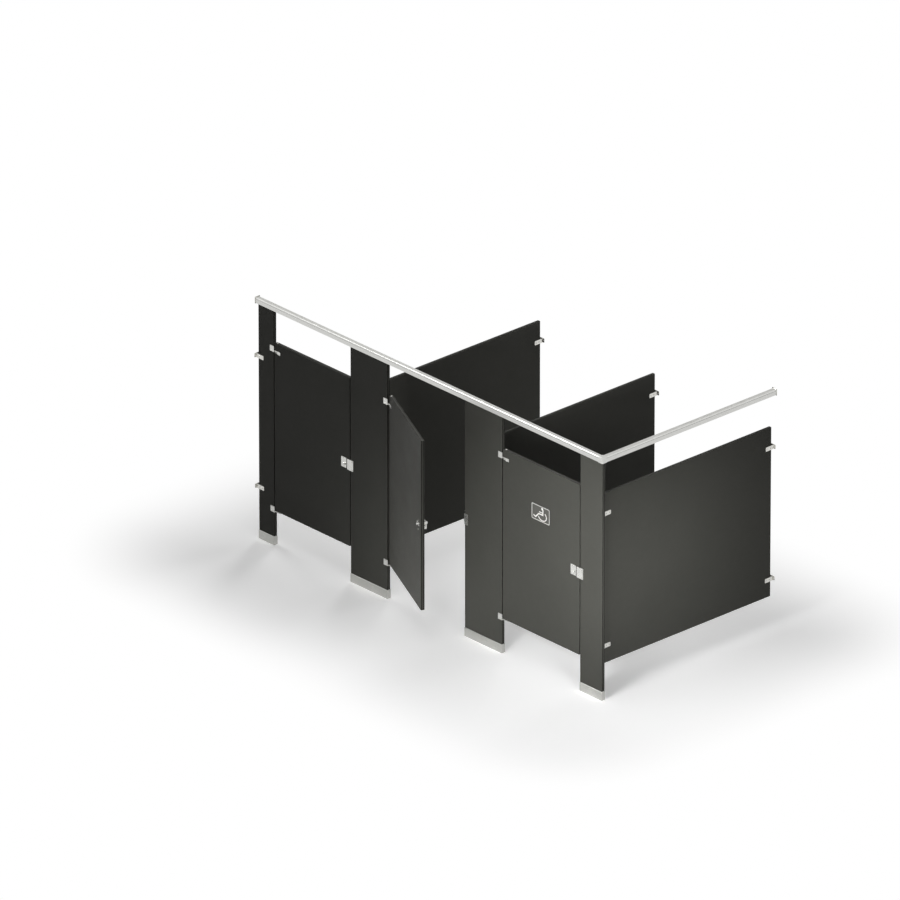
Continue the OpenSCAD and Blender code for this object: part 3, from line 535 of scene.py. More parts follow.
def pilasters():
    for i in range(1, 5):
        node = f"pilaster_{i}"
        low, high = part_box(node)
        size = high - low
        outline = rounded_rect(size.x, size.z, LEAF_CORNER)
        made = leaf(f"pilaster_{i}_sheets", outline, size.y, upright(low, high, (1, 0, 0)),
                    low_wall=FOOT_BAR)
        piece(made, "powder_coat", node, stands_for=[node])


def panels():
    for i in STALLS:
        node = f"panel_{i}"
        low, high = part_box(node)
        size = high - low
        outline = rounded_rect(size.y, size.z, LEAF_CORNER)
        made = leaf(f"panel_{i}_sheets", outline, size.x, upright(low, high, (0, 1, 0)))
        piece(made, "powder_coat", node, stands_for=[node])


def doors():
    for i in STALLS:
        node = f"door_{i}"
        low, high = node_box(node)
        size = high - low
        middle = (low + high) / 2
        insert_low, insert_high = node_box(f"top_insert_{i}")
        notch_right = NOTCH_DEPTH + low.x - middle.x
        notch_low = (insert_low.z + insert_high.z - NOTCH_H) / 2 - middle.z
        outline = rounded_rect(size.x, size.z, LEAF_CORNER)
        turn = next(k for k, p in enumerate(outline) if p.x < 0 and p.y < 0)
        notch_high = notch_low + NOTCH_H
        notch = [Vector((-size.x / 2, notch_high)), Vector((notch_right, notch_high)),
                 Vector((notch_right, notch_low)), Vector((-size.x / 2, notch_low))]
        outline = outline[:turn] + notch + outline[turn:]
        knob = node_box(f"latch_knob_{i}")
        knob_at = (knob[0] + knob[1]) / 2 - middle
        near = Vector((knob_at.x, knob_at.z))
        far = near + Vector((BOLT_TRAVEL, 0))
        slot = slot_outline(near, far, STEM_R + SLOT_CLEAR)[::-1]
        made = leaf(f"door_{i}_sheets", outline, size.y, upright(low, high, (1, 0, 0)),
                    openings=[slot])
        piece(made, "powder_coat", node, stands_for=[node])


# Shoes and headrail

def shoes():
    for i in range(1, 5):
        node = f"shoe_{i}"
        low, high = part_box(node)
        size = high - low
        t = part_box(f"pilaster_{i}")
        lip = (size.y - (t[1].y - t[0].y)) / 2 - SHOE_CLEAR
        corner = rounded_rect(size.x, size.y, SHOE_CORNER, CORNER_STEPS)
        back = next(k for k, p in enumerate(corner) if p.x < 0)
        outline = ([Vector((-SHOE_GAP / 2, size.y / 2))] + corner[back:] + corner[:back]
                   + [Vector((SHOE_GAP / 2, size.y / 2))])
        solid = Solid()
        section = [(0, 0, 0)]
        for across, left, wear_and_highlight in quarter_turn(BEND_STEPS):
            section.append((SHOE_BEND * across, size.z - SHOE_BEND * left, wear_and_highlight))
        section += [(lip, size.z, 0), (lip, size.z - SHOE_SHEET, 0)]
        r = SHOE_BEND - SHOE_SHEET
        for across, left, _ in reversed(quarter_turn(BEND_STEPS)):
            section.append((SHOE_SHEET + r * across, size.z - SHOE_BEND + r * (1 - left), 0))
        section.append((SHOE_SHEET, 0, 0))
        place = Matrix.Translation(((low.x + high.x) / 2, (low.y + high.y) / 2, low.z))
        rings = []
        for inset, z, wear_and_highlight in section:
            points = inset_loop(outline, inset) if inset else outline
            rings.append(solid.ring([place @ Vector((p.x, p.y, z)) for p in points], wear_and_highlight))
        rings.append(rings[0])
        solid.join(rings, round_ring=False)
        solid.bm.faces.new([ring[0] for ring in rings[:-1]])
        solid.bm.faces.new([ring[-1] for ring in rings[:-1]])
        solid.face_out()
        piece((solid, f"shoe_{i}_sheet"), "shoe_stainless", node, stands_for=[node])


def rail_outline(w, h):
    """Section of the headrail: skirt, shadow line under the shoulder, fine ribs on top."""
    half = w / 2
    reed = h - REED_DROP
    right = [Vector((half, 0)), Vector((half, reed - REED_W)),
             Vector((half - REED_DEPTH, reed - REED_W + RIB_SLOPE)),
             Vector((half - REED_DEPTH, reed - RIB_SLOPE)), Vector((half, reed))]
    right += arc(half - RAIL_R, h - RAIL_R, RAIL_R, 0, 90, SHOULDER_STEPS)
    flat = half - RAIL_R
    pitch = 2 * flat / RAIL_RIBS
    top = []
    for k in range(RAIL_RIBS):
        x = flat - pitch * (k + RIB_LAND / 2)
        land = pitch * (1 - RIB_LAND)
        top += [Vector((x, h)), Vector((x - RIB_SLOPE, h - RIB_DEPTH)),
                Vector((x - land + RIB_SLOPE, h - RIB_DEPTH)), Vector((x - land, h))]
    left = [Vector((-p.x, p.y)) for p in reversed(right)]
    inside = half - RAIL_WALL
    skirt = [Vector((-inside, 0)), Vector((-inside, RAIL_SKIRT)), Vector((inside, RAIL_SKIRT)),
             Vector((inside, 0))]
    return right + top + left + skirt


def rail_cavity(w, h):
    """The closed space over the rail's web, as a hole in its section."""
    half = w / 2 - RAIL_WALL
    low = RAIL_SKIRT + RAIL_WALL
    r = RAIL_R - RAIL_WALL
    high = h - RAIL_WALL
    return ([Vector((-half, low))] + arc(r - half, high - r, r, 180, 90, CAVITY_STEPS)
            + arc(half - r, high - r, r, 90, 0, CAVITY_STEPS) + [Vector((half, low))])


def rail_marks(p, w, h):
    """Shoulders painted lighter, as rubbing and painted highlight, and the shadow line painted
    darker, as dirt and painted shade, for a point of the rail's section.
    """
    half = w / 2
    shoulder = (abs(p.x) > half - RAIL_R - GAUGE) and p.y > h - RAIL_R - GAUGE
    reed = abs(p.x) < half - GAUGE and abs(p.y - (h - REED_DROP - REED_W / 2)) < REED_W / 2
    return float(shoulder), float(reed) * REED_SHADE_AND_DIRT


def headrails():
    for node, across in (("headrail_front", (0, 1, 0)), ("headrail_side", (-1, 0, 0))):
        low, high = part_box(node)
        size = high - low
        along = Vector(across).cross((0, 0, 1))
        length = abs(along.dot(size))
        middle = (low + high) / 2
        origin = Vector((middle.x, middle.y, low.z)) - along * length / 2
        width = abs(Vector(across).dot(size))
        loops = [(rail_outline(width, size.z), [(0, 0, 0, 0), (0, length, 0, 0)])]
        loops.append((rail_cavity(width, size.z), loops[0][1]))
        solid = Solid()
        place = axes(origin, across, (0, 0, 1))
        sweep(solid, loops, place)
        back = place.inverted()
        for v in solid.bm.verts:
            # Shoulders painted lighter as wear and painted highlight; the shadow line painted
            # darker as painted shade and dirt.
            v[solid.wear_and_highlight], v[solid.seam] = rail_marks(back @ v.co, width, size.z)
        solid.face_out()
        piece((solid, node + "_extrusion"), "rail_aluminium", node, stands_for=[node])


def corner_cover():
    """The cover's pressed top and two sides, open to the two rails."""
    low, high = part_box("headrail_corner")
    size = high - low
    turned = rounded_rect(size.x, size.y, RAIL_R, SHOULDER_STEPS)
    near_right = [p for p in turned if p.x > 0 and p.y < 0]
    outline = ([Vector((size.x / 2, size.y / 2)), Vector((-size.x / 2, size.y / 2)),
                Vector((-size.x / 2, -size.y / 2))] + near_right)
    solid = Solid()
    place = Matrix.Translation(((low.x + high.x) / 2, (low.y + high.y) / 2, 0))
    levels = [(0, low.z, 0, 0)]
    for across, left, _ in quarter_turn(BEND_STEPS):
        levels.append((CORNER_RIM * across, high.z - CORNER_RIM * left, 0, 0))
    sweep(solid, [(outline, levels)], place)
    solid.face_out()
    cover = bare_object(solid, "headrail_corner_cover")
    inner_low = low + Vector((-CUT, CORNER_WALL, -CUT))
    inner_high = high + Vector((-CORNER_WALL, CUT, -CORNER_WALL))
    joined_with(cover, block(inner_low, inner_high), "DIFFERENCE")
    piece(cover, "rail_aluminium", "headrail_corner", bevel=CORNER_BEVEL,
          stands_for=["headrail_corner"])


# Hardware

def pressed(node, name, finish, thicknesses, corner, bevel=PRESSED_BEVEL):
    """A plate piece after its CAD node: the plates' corners rounded, then fine bevels."""
    solid = node_mesh(node)
    bm = solid.bm
    sharp = []
    for edge in bm.edges:
        if len(edge.link_faces) != 2 or not edge.is_convex:
            continue
        square_on = abs(edge.calc_face_angle() - math.pi / 2) < ANGLE_SLACK
        if square_on and any(abs(edge.calc_length() - t) < LENGTH_SLACK for t in thicknesses):
            sharp.append(edge)
    if sharp:
        bmesh.ops.bevel(bm, geom=sharp, offset=corner, segments=CORNER_STEPS, profile=0.5,
                        affect="EDGES", clamp_overlap=True)
    return piece((solid, name), finish, node, bevel=bevel, stands_for=[node])


def plates():
    steel, chrome = "stainless_fittings", "cast_hardware"
    for node in ("pilaster_brackets", "wall_brackets"):
        pressed(node, node + "_pressed", steel, [PLATE_T], BRACKET_CORNER)
    for i in STALLS:
        pressed(f"keeper_{i}", f"keeper_{i}_pressed", chrome, [PLATE_T, WRAP_T], PLATE_CORNER)
        pressed(f"latch_plate_{i}", f"latch_plate_{i}_pressed", chrome, [PLATE_T], PLATE_CORNER)
        pressed(f"latch_case_{i}", f"latch_case_{i}_cast", chrome, [PLATE_T], PLATE_CORNER,
                bevel=CAST_BEVEL)
    pressed("headrail_wall_plates", "headrail_end_plates", steel, [PLATE_T], PLATE_CORNER)
    pressed("hinge_brackets", "hinge_brackets_cast", chrome, [HINGE_T], HINGE_CORNER,
            bevel=CAST_BEVEL)


def knobs():
    for i in STALLS:
        node = f"latch_knob_{i}"
        low, high = node_box(node)
        middle = (low + high) / 2
        radius = (high.x - low.x) / 2
        case_high = node_box(f"latch_case_{i}")[1].y
        plate_low = node_box(f"latch_plate_{i}")[0].y
        place = axes(Vector((middle.x, 0, middle.z)), (1, 0, 0), (0, 0, 1))
        solid = Solid()
        outer = (-plate_low + KNOB_CLEAR, -low.y)
        inner = (-case_high - KNOB_CLEAR, -high.y)
        for start, end in (outer, inner):
            way = 1 if end > start else -1
            profile = [(0, start, 0), (radius - KNOB_RIM, start, 0)]
            profile += [(radius, start + way * KNOB_RIM, KNURL_WEAR)]
            profile += [(radius, end - way * KNOB_CROWN, KNURL_WEAR)]
            for across, left, wear_and_highlight in quarter_turn(BEND_STEPS, first=1):
                profile.append((radius - KNOB_CROWN * across, end - way * KNOB_CROWN * left, wear_and_highlight))
            for share, depth in KNOB_FACE:
                profile.append((radius * share, end - way * KNOB_DISH * depth, 0))
            lathe(solid, profile, place, KNOB_SEGMENTS, KNURL_DEPTH)
        stem = [(0, inner[0] - CUT, 0), (STEM_R, inner[0] - CUT, 0), (STEM_R, outer[0] + CUT, 0),
                (0, outer[0] + CUT, 0)]
        lathe(solid, stem, place)
        solid.face_out()
        piece((solid, f"latch_knob_{i}_turned"), "cast_hardware", node, stands_for=[node])


def radial_steps(points, along):
    """The levels of a turned solid along an axis, each with its largest radius."""
    low, high = corners(points)
    middle = (low + high) / 2
    others = [k for k in range(3) if k != along]
    levels = {}
    for p in points:
        at = round(p[along], 6)
        r = math.hypot(p[others[0]] - middle[others[0]], p[others[1]] - middle[others[1]])
        levels[at] = max(levels.get(at, 0), r)
    return middle, sorted(levels.items())


def fastener(solid, points):
    """A screw or a barrel nut rebuilt after its plain solid: domed head, hex recess, shank."""
    low, high = corners(points)
    size = high - low
    pairs = [abs(size[(k + 1) % 3] - size[(k + 2) % 3]) for k in range(3)]
    along = pairs.index(min(pairs))
    middle, levels = radial_steps(points, along)
    head_r = max(r for _, r in levels)
    at_low_end = levels[0][1] + levels[1][1] > levels[-1][1] + levels[-2][1]
    ends = (levels[0][0], levels[-1][0])
    top, tip = ends if at_low_end else ends[::-1]
    way = Vector((0, 0, 0))
    way[along] = 1 if top > tip else -1
    origin = Vector(middle)
    origin[along] = tip
    side = Vector((1, 0, 0)) if along != 0 else Vector((0, 1, 0))
    place = axes(origin, side, way.cross(side))
    length = abs(top - tip)
    shank_r = levels[-1][1] if at_low_end else levels[0][1]
    neck = [abs(at - tip) for at, r in levels if r > shank_r + NECK_STEP]
    head_z = min(neck)
    head_h = length - head_z
    recess = head_r * HEX_SHARE
    profile = [(0, 0, 0), (shank_r - TIP_CHAMFER, 0, 0), (shank_r, TIP_CHAMFER, 0),
               (shank_r, head_z, 0), (head_r, head_z, 0),
               (head_r, head_z + head_h * HEAD_EDGE, 0.4)]
    for k in range(1, BEND_STEPS):
        a = math.radians(90 * k / BEND_STEPS)
        dome = HEAD_EDGE + (1 - HEAD_EDGE) * math.sin(a)
        profile.append((head_r - (head_r - recess * 1.5) * (1 - math.cos(a)),
                        head_z + head_h * dome, 0.3))
    # The hex recess is painted dark as painted shade; the dome above is painted lighter as wear and
    # painted highlight.
    floor_z = length - HEX_DEPTH
    profile += [(recess * 1.2, length), (recess, length - HEX_LIP, 0, 0.6),
                (recess, floor_z, 0, 1), (recess * 0.4, floor_z, 0, 1),
                (recess * 0.4, length - HEX_CENTRE, 0, 0.4), (0, length - TIP_CHAMFER)]
    if shank_r > BARREL_R:
        bored = head_z - BORE_FLOOR
        profile = [(0, bored, 0), (BARREL_BORE, bored, 0), (BARREL_BORE, 0, 0)] + profile[1:]
    lathe(solid, profile, place)


def fasteners():
    nodes = ["through_bolts", "frame_screws"] + [f"door_bolts_{i}" for i in STALLS]
    for node in nodes:
        source = node_mesh(node)
        solid = Solid()
        for group in separate_solids(source.bm):
            fastener(solid, [v.co.copy() for v in group])
        source.bm.free()
        solid.face_out()
        piece((solid, node + "_turned"), "stainless_fittings", node, stands_for=[node])


CARRIED = {
    "floor_channels": ("stainless_fittings", 0.3 * MM),
    "levelling_bolts": ("stainless_fittings", 0.3 * MM),
    "keeper_bumpers": ("rubber_bumper", 0.6 * MM),
    "pilaster_cores": ("paper_core", 0),
    "panel_cores": ("paper_core", 0),
}
CARRIED_PER_DOOR = {
    "door_{}_core": ("paper_core", 0),
    "top_pin_{}": ("stainless_fittings", 0.6 * MM),
    "top_insert_{}": ("cast_hardware", 0.4 * MM),
    "bottom_bush_{}": ("nylon_bush", 0.4 * MM),
    "latch_bolt_{}": ("stainless_fittings", 0.8 * MM),
}


def carried_over():
    """Materials, welded points and fine bevels for the CAD nodes that stay."""
    rows = dict(CARRIED)
    for i in STALLS:
        rows.update({name.format(i): row for name, row in CARRIED_PER_DOOR.items()})
    for node, (finish, bevel) in rows.items():
        kept = frame["nodes"][node]
        for k in range(max(1, len(kept.material_slots))):
            if kept.material_slots:
                kept.material_slots[k].material = FINISHES[finish]
            else:
                kept.data.materials.append(FINISHES[finish])
        if not bevel:
            continue
        weld = kept.modifiers.new("weld", "WELD")
        weld.merge_threshold = KEPT_SAME_POINT
        flat = kept.modifiers.new("whole_faces", "DECIMATE")
        flat.decimate_type = "DISSOLVE"
        flat.angle_limit = KEPT_SAME_PLANE
        softened(kept, bevel)
        kept.data.polygons.foreach_set("use_smooth", [True] * len(kept.data.polygons))
        flat_faces_flat(kept, keep_sharp=False)


# Sign

def sign():
    """Plate with a raised border and a raised wheelchair pictogram."""
    node = "door_sign"
    low, high = node_box(node)
    size = high - low
    place = axes(Vector(((low.x + high.x) / 2, high.y, (low.z + high.z) / 2)),
                 (1, 0, 0), (0, 0, 1))
    solid = Solid()
    # The plate's rim and sides carry painted shade: a dark shadow gap round the plate.
    levels = [(0, 0, 0, 1), (0, SIGN_BASE - SIGN_RIM, 0, 1), (SIGN_RIM, SIGN_BASE, 0, 1),
              (BORDER_INSET, SIGN_BASE, 0, 1), (BORDER_INSET + SIGN_RIM, SIGN_BASE, 0, 0)]
    sweep(solid, [(rounded_rect(size.x, size.z, SIGN_CORNER, SIGN_STEPS), levels)], place)
    solid.face_out()
    piece((solid, "door_sign_plate"), "sign_plate", node, stands_for=[node])

    raised = (SIGN_BASE - SUNK, size.y)
    outer_w, outer_h = size.x - 2 * BORDER_INSET, size.z - 2 * BORDER_INSET
    outer_r = SIGN_CORNER - BORDER_INSET
    outer = rounded_rect(outer_w, outer_h, outer_r, SIGN_STEPS)
    inner = rounded_rect(outer_w - 2 * BORDER_W, outer_h - 2 * BORDER_W,
                         outer_r - BORDER_W * 0.4, SIGN_STEPS)
    border = Solid()
    prism(border, [outer, inner[::-1]], *raised, place, rim=RAISED_RIM)
    border.face_out()
    piece((border, "door_sign_border"), "sign_border", node)

    outlines = [circle(HEAD_R, *HEAD_AT)]
    outlines += [stroke([Vector(p) * MM for p in line], width) for line, width in PICTO_LINES]
    turned = arc(0, 0, WHEEL_R, *WHEEL_SPAN, WHEEL_STEPS)
    wheel = [Vector((WHEEL_AT[0] + p.x * WHEEL_STRETCH, WHEEL_AT[1] + p.y)) for p in turned]
    outlines.append(stroke(wheel, WHEEL_STROKE))
    shapes = []
    for outline in outlines:
        shape = Solid()
        prism(shape, [outline], *raised, place, rim=RAISED_RIM)
        shape.face_out()
        shapes.append(bare_object(shape, "door_sign_pictogram"))
    picture = shapes[0]
    for other in shapes[1:]:
        joined_with(picture, other, "UNION")
    piece(picture, "sign_white", node)


# Materials

FINER = 14.0
WIDE_SHARE, FINE_SHARE = 0.7, 0.3
SWELL_SCALE = 0.4
GRAIN_SHARE, SWELL_SHARE = 0.6, 0.4
COAT_GLINT = 0.07
COAT_ROUGH = 0.46
LINE_SHARE = 0.22
LINE_GLOSS = 0.07


class Nodes:
    """A node tree with short calls to add and join its nodes."""

    def __init__(self, tree):
        self.tree = tree

    def add(self, kind, values=None, **settings):
        made = self.tree.nodes.new(kind)
        for key, value in settings.items():
            setattr(made, key, value)
        for key, value in (values or {}).items():
            self.set(made, key, value)
        return made

    def set(self, made, key, value):
        if isinstance(value, bpy.types.NodeSocket):
            self.tree.links.new(value, made.inputs[key])
        else:
            made.inputs[key].default_value = value

    def maths(self, operation, a, b=0.0):
        made = self.add("ShaderNodeMath", {0: a, 1: b}, operation=operation)
        return made.outputs[0]

    def spread(self, value, from_low, from_high, low, high):
        """A value moved from one range to another, and kept inside it."""
        made = self.add("ShaderNodeMapRange", {"Value": value, "From Min": from_low,
                                               "From Max": from_high, "To Min": low,
                                               "To Max": high})
        return made.outputs["Result"]

    def blend(self, share, a, b):
        made = self.add("ShaderNodeMix", {0: share, 6: a, 7: b}, data_type="RGBA")
        return made.outputs[2]

    def own_place(self):
        return self.add("ShaderNodeTexCoord").outputs["Object"]

    def noise(self, place, scale, detail=2.0, roughness=0.5):
        made = self.add("ShaderNodeTexNoise", {"Vector": place, "Scale": scale,
                                               "Detail": detail, "Roughness": roughness})
        return made.outputs["Fac"]

    def attribute(self, name):
        return self.add("ShaderNodeAttribute", attribute_name=name).outputs["Fac"]


def effect(name, inputs, outputs):
    """A new node group with its named sockets."""
    tree = bpy.data.node_groups.new(name, "ShaderNodeTree")
    kinds = {"value": "NodeSocketFloat", "colour": "NodeSocketColor", "vector": "NodeSocketVector"}
    for label, kind in inputs:
        tree.interface.new_socket(label, in_out="INPUT", socket_type=kinds[kind])
    for label, kind in outputs:
        tree.interface.new_socket(label, in_out="OUTPUT", socket_type=kinds[kind])
    nodes = Nodes(tree)
    return nodes, nodes.add("NodeGroupInput"), nodes.add("NodeGroupOutput")


def uneven_tone():
    """A colour that drifts lighter and darker in wide clouds with finer ones in them."""
    inputs = [("Colour", "colour"), ("Scale", "value"), ("Amount", "value")]
    nodes, given, out = effect("uneven_tone", inputs, [("Colour", "colour")])
    place = nodes.own_place()
    wide = nodes.noise(place, given.outputs["Scale"], 3.0)
    fine_scale = nodes.maths("MULTIPLY", given.outputs["Scale"], FINER)
    fine = nodes.noise(place, fine_scale, 2.0)
    both = nodes.maths("ADD", nodes.maths("MULTIPLY", wide, WIDE_SHARE),
                       nodes.maths("MULTIPLY", fine, FINE_SHARE))
    drift = nodes.maths("MULTIPLY", nodes.maths("SUBTRACT", both, 0.5), given.outputs["Amount"])
    level = nodes.maths("ADD", nodes.maths("MULTIPLY", drift, 2.0), 1.0)
    scaled = nodes.add("ShaderNodeVectorMath", {0: given.outputs["Colour"], "Scale": level},
                       operation="SCALE")
    nodes.set(out, "Colour", scaled.outputs[0])
    return nodes.tree


def worn_and_highlit_rims():
    """Where rims are painted lighter, as wear and painted highlight: the value that a mesh carries,
    broken up by a noise.
    """
    inputs = [("Scale", "value"), ("Amount", "value")]
    nodes, given, out = effect("worn_and_highlit_rims", inputs, [("Mask", "value")])
    patches = nodes.noise(nodes.own_place(), given.outputs["Scale"], 4.0)
    broken = nodes.spread(patches, 0.35, 0.62, 0.25, 1.0)
    mask = nodes.maths("MULTIPLY", nodes.attribute("wear_and_highlight"), broken)
    nodes.set(out, "Mask", nodes.maths("MULTIPLY", mask, given.outputs["Amount"]))
    return nodes.tree


def settled_dust():
    """A thin uneven layer on whatever faces up."""
    inputs = [("Scale", "value"), ("Amount", "value")]
    nodes, given, out = effect("settled_dust", inputs, [("Mask", "value")])
    geometry = nodes.add("ShaderNodeNewGeometry")
    up = nodes.add("ShaderNodeSeparateXYZ", {0: geometry.outputs["Normal"]}).outputs["Z"]
    facing = nodes.spread(up, 0.55, 0.95, 0.0, 1.0)
    patches = nodes.noise(nodes.own_place(), given.outputs["Scale"], 5.0, 0.6)
    mask = nodes.maths("MULTIPLY", facing, nodes.spread(patches, 0.3, 0.7, 0.35, 1.0))
    nodes.set(out, "Mask", nodes.maths("MULTIPLY", mask, given.outputs["Amount"]))
    return nodes.tree


def drawn_grain():
    """Fine lines along the axis that Stretch makes small: brushing, or an extrusion's drag."""
    inputs = [("Stretch", "vector"), ("Scale", "value")]
    nodes, given, out = effect("drawn_grain", inputs, [("Value", "value")])
    factors = {0: nodes.own_place(), 1: given.outputs["Stretch"]}
    stretched = nodes.add("ShaderNodeVectorMath", factors, operation="MULTIPLY").outputs[0]
    nodes.set(out, "Value", nodes.noise(stretched, given.outputs["Scale"], 3.0, 0.65))
    return nodes.tree


def fine_pebble():
    """The slight orange peel of a sprayed coat, or the skin of a casting."""
    nodes, given, out = effect("fine_pebble", [("Scale", "value")], [("Height", "value")])
    place = nodes.own_place()
    grains = nodes.add("ShaderNodeTexVoronoi", {"Vector": place, "Scale": given.outputs["Scale"]},
                       feature="SMOOTH_F1").outputs["Distance"]
    swell_scale = nodes.maths("MULTIPLY", given.outputs["Scale"], SWELL_SCALE)
    swells = nodes.noise(place, swell_scale, 2.0)
    both = nodes.maths("ADD", nodes.maths("MULTIPLY", grains, GRAIN_SHARE),
                       nodes.maths("MULTIPLY", swells, SWELL_SHARE))
    nodes.set(out, "Height", both)
    return nodes.tree


def handling_marks():
    """Wide faint smears and small dull spots, as a value round zero."""
    inputs = [("Scale", "value"), ("Amount", "value")]
    nodes, given, out = effect("handling_marks", inputs, [("Value", "value")])
    place = nodes.own_place()
    smears = nodes.spread(nodes.noise(place, given.outputs["Scale"], 5.0, 0.6), 0.3, 0.7, -1.0, 1.0)
    nodes.set(out, "Value", nodes.maths("MULTIPLY", smears, given.outputs["Amount"]))
    return nodes.tree


EFFECTS = {made.name: made for made in (uneven_tone(), worn_and_highlit_rims(), settled_dust(), drawn_grain(),
                                        fine_pebble(), handling_marks())}


def srgb(r, g, b):
    """A colour written in display values from 0 to 255."""
    linear = []
    for level in (r / 255, g / 255, b / 255):
        linear.append(level / 12.92 if level <= 0.04045 else ((level + 0.055) / 1.055) ** 2.4)
    return (*linear, 1.0)


class Finish(Nodes):
    """A material with one surface shader."""

    def __init__(self, name, **constants):
        self.material = bpy.data.materials.new(name)
        self.material.use_nodes = True
        super().__init__(self.material.node_tree)
        self.shader = self.tree.nodes["Principled BSDF"]
        for socket, value in constants.items():
            self.shader.inputs[socket.replace("_", " ")].default_value = value

    def effect(self, name, **values):
        return self.add("ShaderNodeGroup", values, node_tree=EFFECTS[name]).outputs[0]

    def colour(self, value):
        self.set(self.shader, "Base Color", value)

    def roughness(self, middle, marks):
        rough = self.maths("ADD", marks, middle)
        self.set(self.shader, "Roughness", self.spread(rough, 0.05, 0.95, 0.05, 0.95))

    def bump(self, height, strength, distance):
        made = self.add("ShaderNodeBump", {"Height": height, "Strength": strength,
                                           "Distance": distance})
        self.set(self.shader, "Normal", made.outputs[0])


def powder_coat(name, tone, rim, dust):
    finish = Finish(name, Specular_IOR_Level=COAT_GLINT)
    colour = finish.effect("uneven_tone", Colour=tone, Scale=1.7, Amount=0.13)
    # Rims painted lighter: wear, and a painted highlight along the rounded edges.
    rim_wear_and_highlight = finish.effect("worn_and_highlit_rims", Scale=45.0, Amount=0.5)
    colour = finish.blend(rim_wear_and_highlight, colour, rim)
    # Seam grooves painted dark: painted shade, with some dirt.
    seam = finish.attribute("seam")
    colour = finish.blend(seam, colour, SHADE_AND_DIRT_DARK)
    settled = finish.effect("settled_dust", Scale=9.0, Amount=0.25)
    colour = finish.blend(settled, colour, dust)
    finish.colour(colour)
    finish.roughness(COAT_ROUGH, finish.effect("handling_marks", Scale=3.2, Amount=0.06))
    finish.bump(finish.effect("fine_pebble", Scale=520.0), strength=0.5, distance=0.001)
    return finish.material


def metal(name, tone, rough, stretch, grain, drift=0.08, dust=0.25, rim=None, drag=0.1,
          share=1.0):
    """Bare metal: a drifting tone, drawn grain in colour and gloss, dull dust on top.

    The share is how much of the surface is bare metal, under what handling leaves on it.
    """
    finish = Finish(name, Metallic=share)
    colour = finish.effect("uneven_tone", Colour=tone, Scale=7.0, Amount=drift)
    lines = finish.effect("drawn_grain", Stretch=stretch, Scale=grain)
    line = finish.spread(lines, 0.35, 0.65, 0.0, LINE_SHARE)
    colour = finish.blend(line, colour, METAL_LINE)
    # Rims painted lighter: wear, and a painted highlight along the rounded edges and shoulders.
    if rim:
        colour = finish.blend(finish.effect("worn_and_highlit_rims", Scale=60.0, Amount=0.6), colour, rim)
    # Grooves and recesses painted dark: painted shade, with some dirt in the rail's shadow line.
    colour = finish.blend(finish.attribute("seam"), colour, METAL_SHADE_AND_DIRT)
    settled = finish.effect("settled_dust", Scale=14.0, Amount=dust)
    colour = finish.blend(settled, colour, METAL_DUST)
    finish.colour(colour)
    marks = finish.effect("handling_marks", Scale=11.0, Amount=0.05)
    across = finish.spread(lines, 0.3, 0.7, -LINE_GLOSS, LINE_GLOSS)
    finish.roughness(rough, finish.maths("ADD", marks, across))
    finish.bump(lines, strength=drag, distance=0.0003)
    return finish.material


def plain_stuff(name, tone, rough, pebble, drift=0.1, bump=0.2, stretch=None):
    """Rubber, nylon, board and sign plastics: a drifting tone and a pebbled skin."""
    finish = Finish(name)
    colour = finish.effect("uneven_tone", Colour=tone, Scale=6.0, Amount=drift)
    # Where a mesh carries the value, it is painted dark: painted shade, such as the sign plate's
    # shadow-gap rim.
    colour = finish.blend(finish.attribute("seam"), colour, SHADE_AND_DIRT_DARK)
    settled = finish.effect("settled_dust", Scale=12.0, Amount=0.2)
    finish.colour(finish.blend(settled, colour, METAL_DUST))
    finish.roughness(rough, finish.effect("handling_marks", Scale=9.0, Amount=0.05))
    if stretch:
        height = finish.effect("drawn_grain", Stretch=stretch, Scale=pebble)
    else:
        height = finish.effect("fine_pebble", Scale=pebble)
    finish.bump(height, strength=bump, distance=0.0004)
    return finish.material


